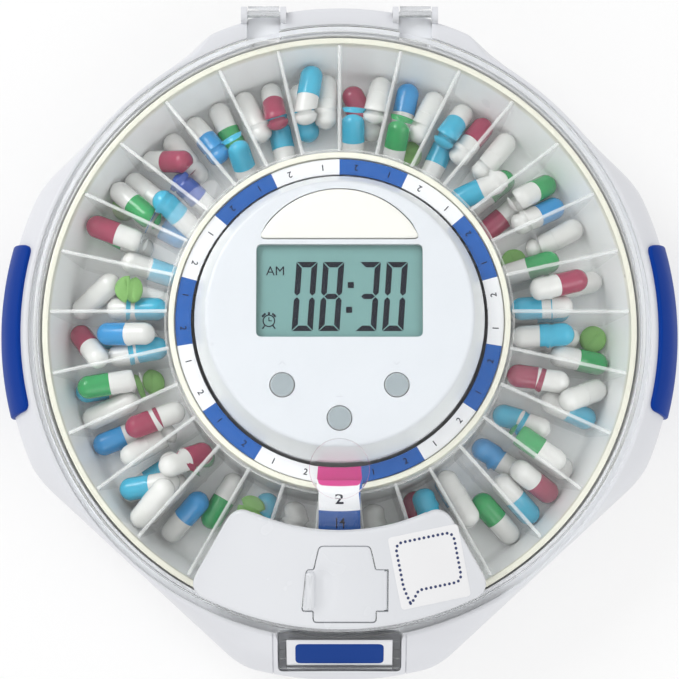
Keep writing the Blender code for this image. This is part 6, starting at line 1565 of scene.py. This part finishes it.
def turned_about_x(x, r, columns):
    """A profile turned about the X axis."""
    angles = turns(columns)
    points = np.stack([x[:, None] + 0 * angles, r[:, None] * np.cos(angles), r[:, None] * np.sin(angles)], -1)
    return points.reshape(-1, 3), grid_faces(len(x), columns, False, True)


def tablet():
    """A round tablet lying flat, with domed faces, a bevelled edge and a score across its top."""
    half = [(0.0, 19.0), (10.0, 18.7), (20.0, 17.8), (30.0, 16.2), (37.0, 14.0), (41.0, 10.0)]
    r, z = np.array(half + [(across, -height) for across, height in half[::-1]]).T * 0.0001
    z = z[:, None]
    angles = turns(40)
    x, y = r[:, None] * np.cos(angles), r[:, None] * np.sin(angles)
    height = z - np.where(z > 0.0014, 0.0003 * np.exp(-((x / 0.0003) ** 2)), 0.0)
    return np.stack([x, y, height], -1).reshape(-1, 3), grid_faces(len(r), 40, False, True)


PILL_COLOURS = {
    "green": (0.010, 0.330, 0.085),
    "crimson": (0.330, 0.022, 0.075),
    "cyan": (0.030, 0.430, 0.640),
    "blue": (0.018, 0.075, 0.400),
    "sky": (0.008, 0.270, 0.620),
    "white": (0.76, 0.76, 0.74),
    "tablet": (0.200, 0.440, 0.110),
}


def pill_finish(name, colour):
    """Glossy gelatine, or a pressed tablet's chalk."""
    chalky = name == "tablet"
    finish = Finish(f"pill_{name}", colour, 0.55 if chalky else 0.16, Coat_Weight=0.0 if chalky else 0.5)
    finish.mottled(0.06, 220.0).uneven(0.06, 300.0)
    return finish.bump(finish.noise(1800.0, 3.0), 0.000030 if chalky else 0.000004)


# Each colour's pills: x, y and z in millimetres, then the way and the tilt of its cap in degrees
PILLS = {
    "crimson": [
        (-20.5, 72.2, 15.6, 280, 39), (-53.4, 54.2, 16.5, 349, 38), (-69.0, 30.9, 19.4, 159, -4),
        (-77.0, -3.9, 15.7, 127, -38), (-56.1, -27.0, 20.2, 202, 7), (-46.4, -39.8, 24.7, 26, -34),
        (7.1, 70.5, 11.5, 117, 0), (41.1, 61.2, 13.7, 53, -19), (50.2, 36.9, 11.6, 220, 0),
        (67.0, 14.1, 23.6, 16, -17), (60.6, -14.3, 19.5, 171, -2), (59.5, -45.6, 15.9, 326, -34),
        (24.4, -57.2, 11.6, 104, 0),
    ],
    "cyan": [
        (-17.6, 59.7, 11.5, 102, 0), (-11.1, 70.8, 11.5, 282, 0), (-9.7, 74.9, 18.6, 81, -7),
        (-29.7, 53.2, 15.6, 111, 38), (-49.7, 36.5, 20.5, 140, 27), (-58.3, 20.7, 14.3, 344, -20),
        (-62.3, 7.7, 17.1, 357, 14), (-65.2, -0.8, 11.5, 177, 0), (-71.9, -16.2, 11.5, 189, 0),
        (-61.9, -5.7, 17.1, 9, 12), (-58.4, -44.9, 11.6, 34, 0), (-57.6, -47.4, 20.7, 188, -17),
        (-24.0, -57.6, 11.6, 71, 0), (4.3, 61.4, 15.1, 90, 28), (30.0, 54.6, 11.6, 65, 0),
        (35.8, 66.0, 15.6, 239, 38), (43.0, 44.4, 19.4, 204, -8), (61.8, 7.7, 11.6, 3, 0),
        (62.0, 7.7, 19.4, 183, -2), (62.3, -1.0, 19.5, 3, 3), (55.8, -26.9, 14.4, 158, -18),
        (70.3, -23.3, 13.6, 338, -20), (54.0, -50.7, 13.7, 313, -19), (27.6, -57.0, 18.1, 108, 2),
    ],
    "green": [
        (-34.8, 64.9, 11.6, 295, 0), (-63.5, 40.3, 17.8, 317, 15), (-67.0, 30.6, 11.5, 152, 0),
        (-70.6, -16.0, 19.5, 189, -2), (-46.5, -38.9, 15.6, 14, -35), (-35.8, -51.0, 11.6, 239, 0),
        (17.4, 59.0, 16.9, 78, 29), (46.4, 45.1, 11.5, 40, 0), (60.2, 44.8, 15.6, 34, -38),
        (58.6, 20.8, 15.1, 16, 10), (73.7, -7.7, 13.7, 351, -18), (60.6, -35.8, 20.4, 146, 4),
        (47.7, -56.7, 13.7, 133, 18), (17.9, -66.7, 15.4, 109, 21),
    ],
    "blue": [
        (-44.2, 43.3, 14.2, 140, 21),
    ],
    "sky": [
        (-41.3, 61.5, 13.7, 307, 19), (-55.0, 34.1, 11.5, 332, 0), (-65.2, -0.8, 21.7, 177, -22),
        (-66.7, -31.3, 11.5, 202, 0), (-47.2, -56.2, 13.8, 47, 20), (20.1, 70.9, 11.5, 78, 0),
        (61.6, 37.6, 14.1, 28, -22), (49.0, -38.5, 11.6, 146, 0), (35.8, -51.0, 11.6, 121, 0),
    ],
    "tablet": [
        (-67.0, 41.1, 9.9, 9, 0), (-64.6, 12.9, 22.1, 9, 0), (-57.9, -14.3, 9.9, 354, 0),
        (-27.1, -54.3, 15.5, 72, 0), (21.6, 57.7, 9.9, 65, 0), (54.1, 23.4, 9.9, 27, 0),
        (78.6, -0.7, 9.9, 319, 0),
    ],
    "white": [
        (-61.0, 12.4, 11.5, 344, 0), (-58.6, -34.5, 16.4, 34, -18), (-54.0, -50.7, 14.0, 46, 13),
        (-12.7, -60.5, 11.6, 100, 0), (64.7, -0.8, 11.5, 183, 0), (60.6, -14.3, 11.6, 171, 0),
        (35.8, -51.0, 19.5, 121, -3), (11.0, -61.3, 11.5, 96, 0), (72.4, 15.6, 13.7, 195, 18),
        (74.4, -19.3, 18.2, 25, -40), (63.3, -37.7, 11.5, 326, 0), (-70.3, -23.3, 13.7, 202, -18),
        (-75.1, 11.9, 14.8, 37, 28), (-48.0, 55.9, 11.5, 307, 0), (-27.1, 68.9, 13.7, 295, 19),
        (-4.3, 73.9, 13.7, 90, -19), (11.9, 74.2, 15.8, 78, -39), (27.1, 68.9, 13.7, 65, -18),
        (48.2, 56.2, 13.7, 53, -18), (67.0, 30.6, 11.6, 28, 0), (-56.4, -53.2, 25.7, 47, 34),
        (-59.2, 44.5, 13.7, 140, -18),
    ],
}


def add_pills():
    """All caps of a colour are one piece, all pale halves another, and the tablets a third."""
    groups = {}
    for colour, (x, y, z, yaw, tilt) in ((colour, pill) for colour, pills in PILLS.items() for pill in pills):
        turn = np.array(Matrix.Rotation(radians(yaw), 3, "Z") @ Matrix.Rotation(-radians(tilt), 3, "Y"))
        place = np.array((x, y, z)) / 1000
        shape = tablet() if colour == "tablet" else capsule_half(True)
        groups.setdefault(colour, []).append((shape, turn, place))
        if colour != "tablet":
            back = turn @ np.diag([-1.0, -1.0, 1.0])
            groups.setdefault("white", []).append((capsule_half(False), back, place))
    for colour, items in groups.items():
        points, faces = [], []
        for (shape, quads), turn, place in items:
            start = sum(len(part) for part in points)
            points.append(shape @ turn.T + place)
            faces += (np.array(quads) + start).tolist()
        finish = pill_finish(colour, PILL_COLOURS[colour])
        piece(f"pills_{colour}", np.concatenate(points), faces, finish, "tray", slot="tray_milky")


# Studio. Each lamp: its name, place, size and power
FLOOR_HALF = 3
FLOOR_GLOW = 0.6
SURROUND_LIGHT = 0.74
LAMPS = (
    ("key", (-0.95, 0.70, 1.05), 0.8, 7.6),
    ("fill", (1.05, -0.40, 0.90), 0.9, 2.6),
    ("front", (-0.30, -1.20, 0.90), 0.9, 2.4),
)


class Surround(Finish):
    """The world, whose nodes are worked in the same way as a material's."""

    def __init__(self, world):
        self.tree = world.node_tree


def seen_share(finish):
    """1 for rays from the camera, a mirror or a clear piece, 0 for those that carry light."""
    kinds = ("Is Camera Ray", "Is Glossy Ray", "Is Transmission Ray")
    camera, mirrored, through = (finish.node("ShaderNodeLightPath", output=kind) for kind in kinds)
    return camera.math("MAXIMUM", mirrored).math("MAXIMUM", through)


def add_studio():
    """A pale floor and surround that a camera sees as white, and soft lamps."""
    floor_finish = Finish("floor_white", (0.93, 0.93, 0.93), 0.60)
    floor_finish.mottled(0.004, 3.0)
    seen = seen_share(floor_finish)
    plain = floor_finish.node("ShaderNodeEmission", None, {"Color": (1.0, 1.0, 1.0), "Strength": 1.0})
    lit = Value(floor_finish, floor_finish.shader.outputs[0])
    floor_finish.surface("Material Output", seen * FLOOR_GLOW, lit, plain)
    mesh = bpy.data.meshes.new("floor")
    corners = rectangle(-FLOOR_HALF, FLOOR_HALF, -FLOOR_HALF, FLOOR_HALF)
    mesh.from_pydata([(x, y, 0) for x, y in corners], [], [[0, 1, 2, 3]])
    mesh.materials.append(floor_finish.material)
    new_object("floor", mesh)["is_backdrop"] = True
    world = bpy.data.worlds.new("studio")
    world.use_nodes = True
    bpy.context.scene.world = world
    shade = world.node_tree.nodes["Background"]
    shade.inputs["Color"].default_value = (1.0, 1.0, 1.0, 1.0)
    shade.inputs["Strength"].default_value = SURROUND_LIGHT
    surround = Surround(world)
    bright = surround.node("ShaderNodeBackground", None, {"Color": (1.0, 1.0, 1.0), "Strength": 1.0})
    surround.surface("World Output", seen_share(surround), Value(surround, shade.outputs[0]), bright)
    for name, place, size, power in LAMPS:
        light = bpy.data.lights.new(name, "AREA")
        light.shape = "DISK"
        light.size = size
        light.energy = power
        lamp = new_object(name, light)
        lamp.location = place
        lamp.rotation_euler = Vector(place).to_track_quat("Z", "Y").to_euler()
    bpy.context.scene.view_settings.view_transform = "Standard"


finish_nodes()
add_case()
add_pan()
add_grips()
add_tray()
add_dividers()
add_dose_ring()
add_dose_numbers()
add_tab_numbers()
add_head()
add_head_inlays()
add_buttons()
add_display()
add_button_marks()
add_lid()
add_lens()
add_hatch()
add_sticker()
add_release()
add_spring()
add_pills()
add_studio()

boxes = {"cad": cad_box, "visual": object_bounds()}
{name: [[float(x) for x in corner] for corner in box] for name, box in boxes.items()}
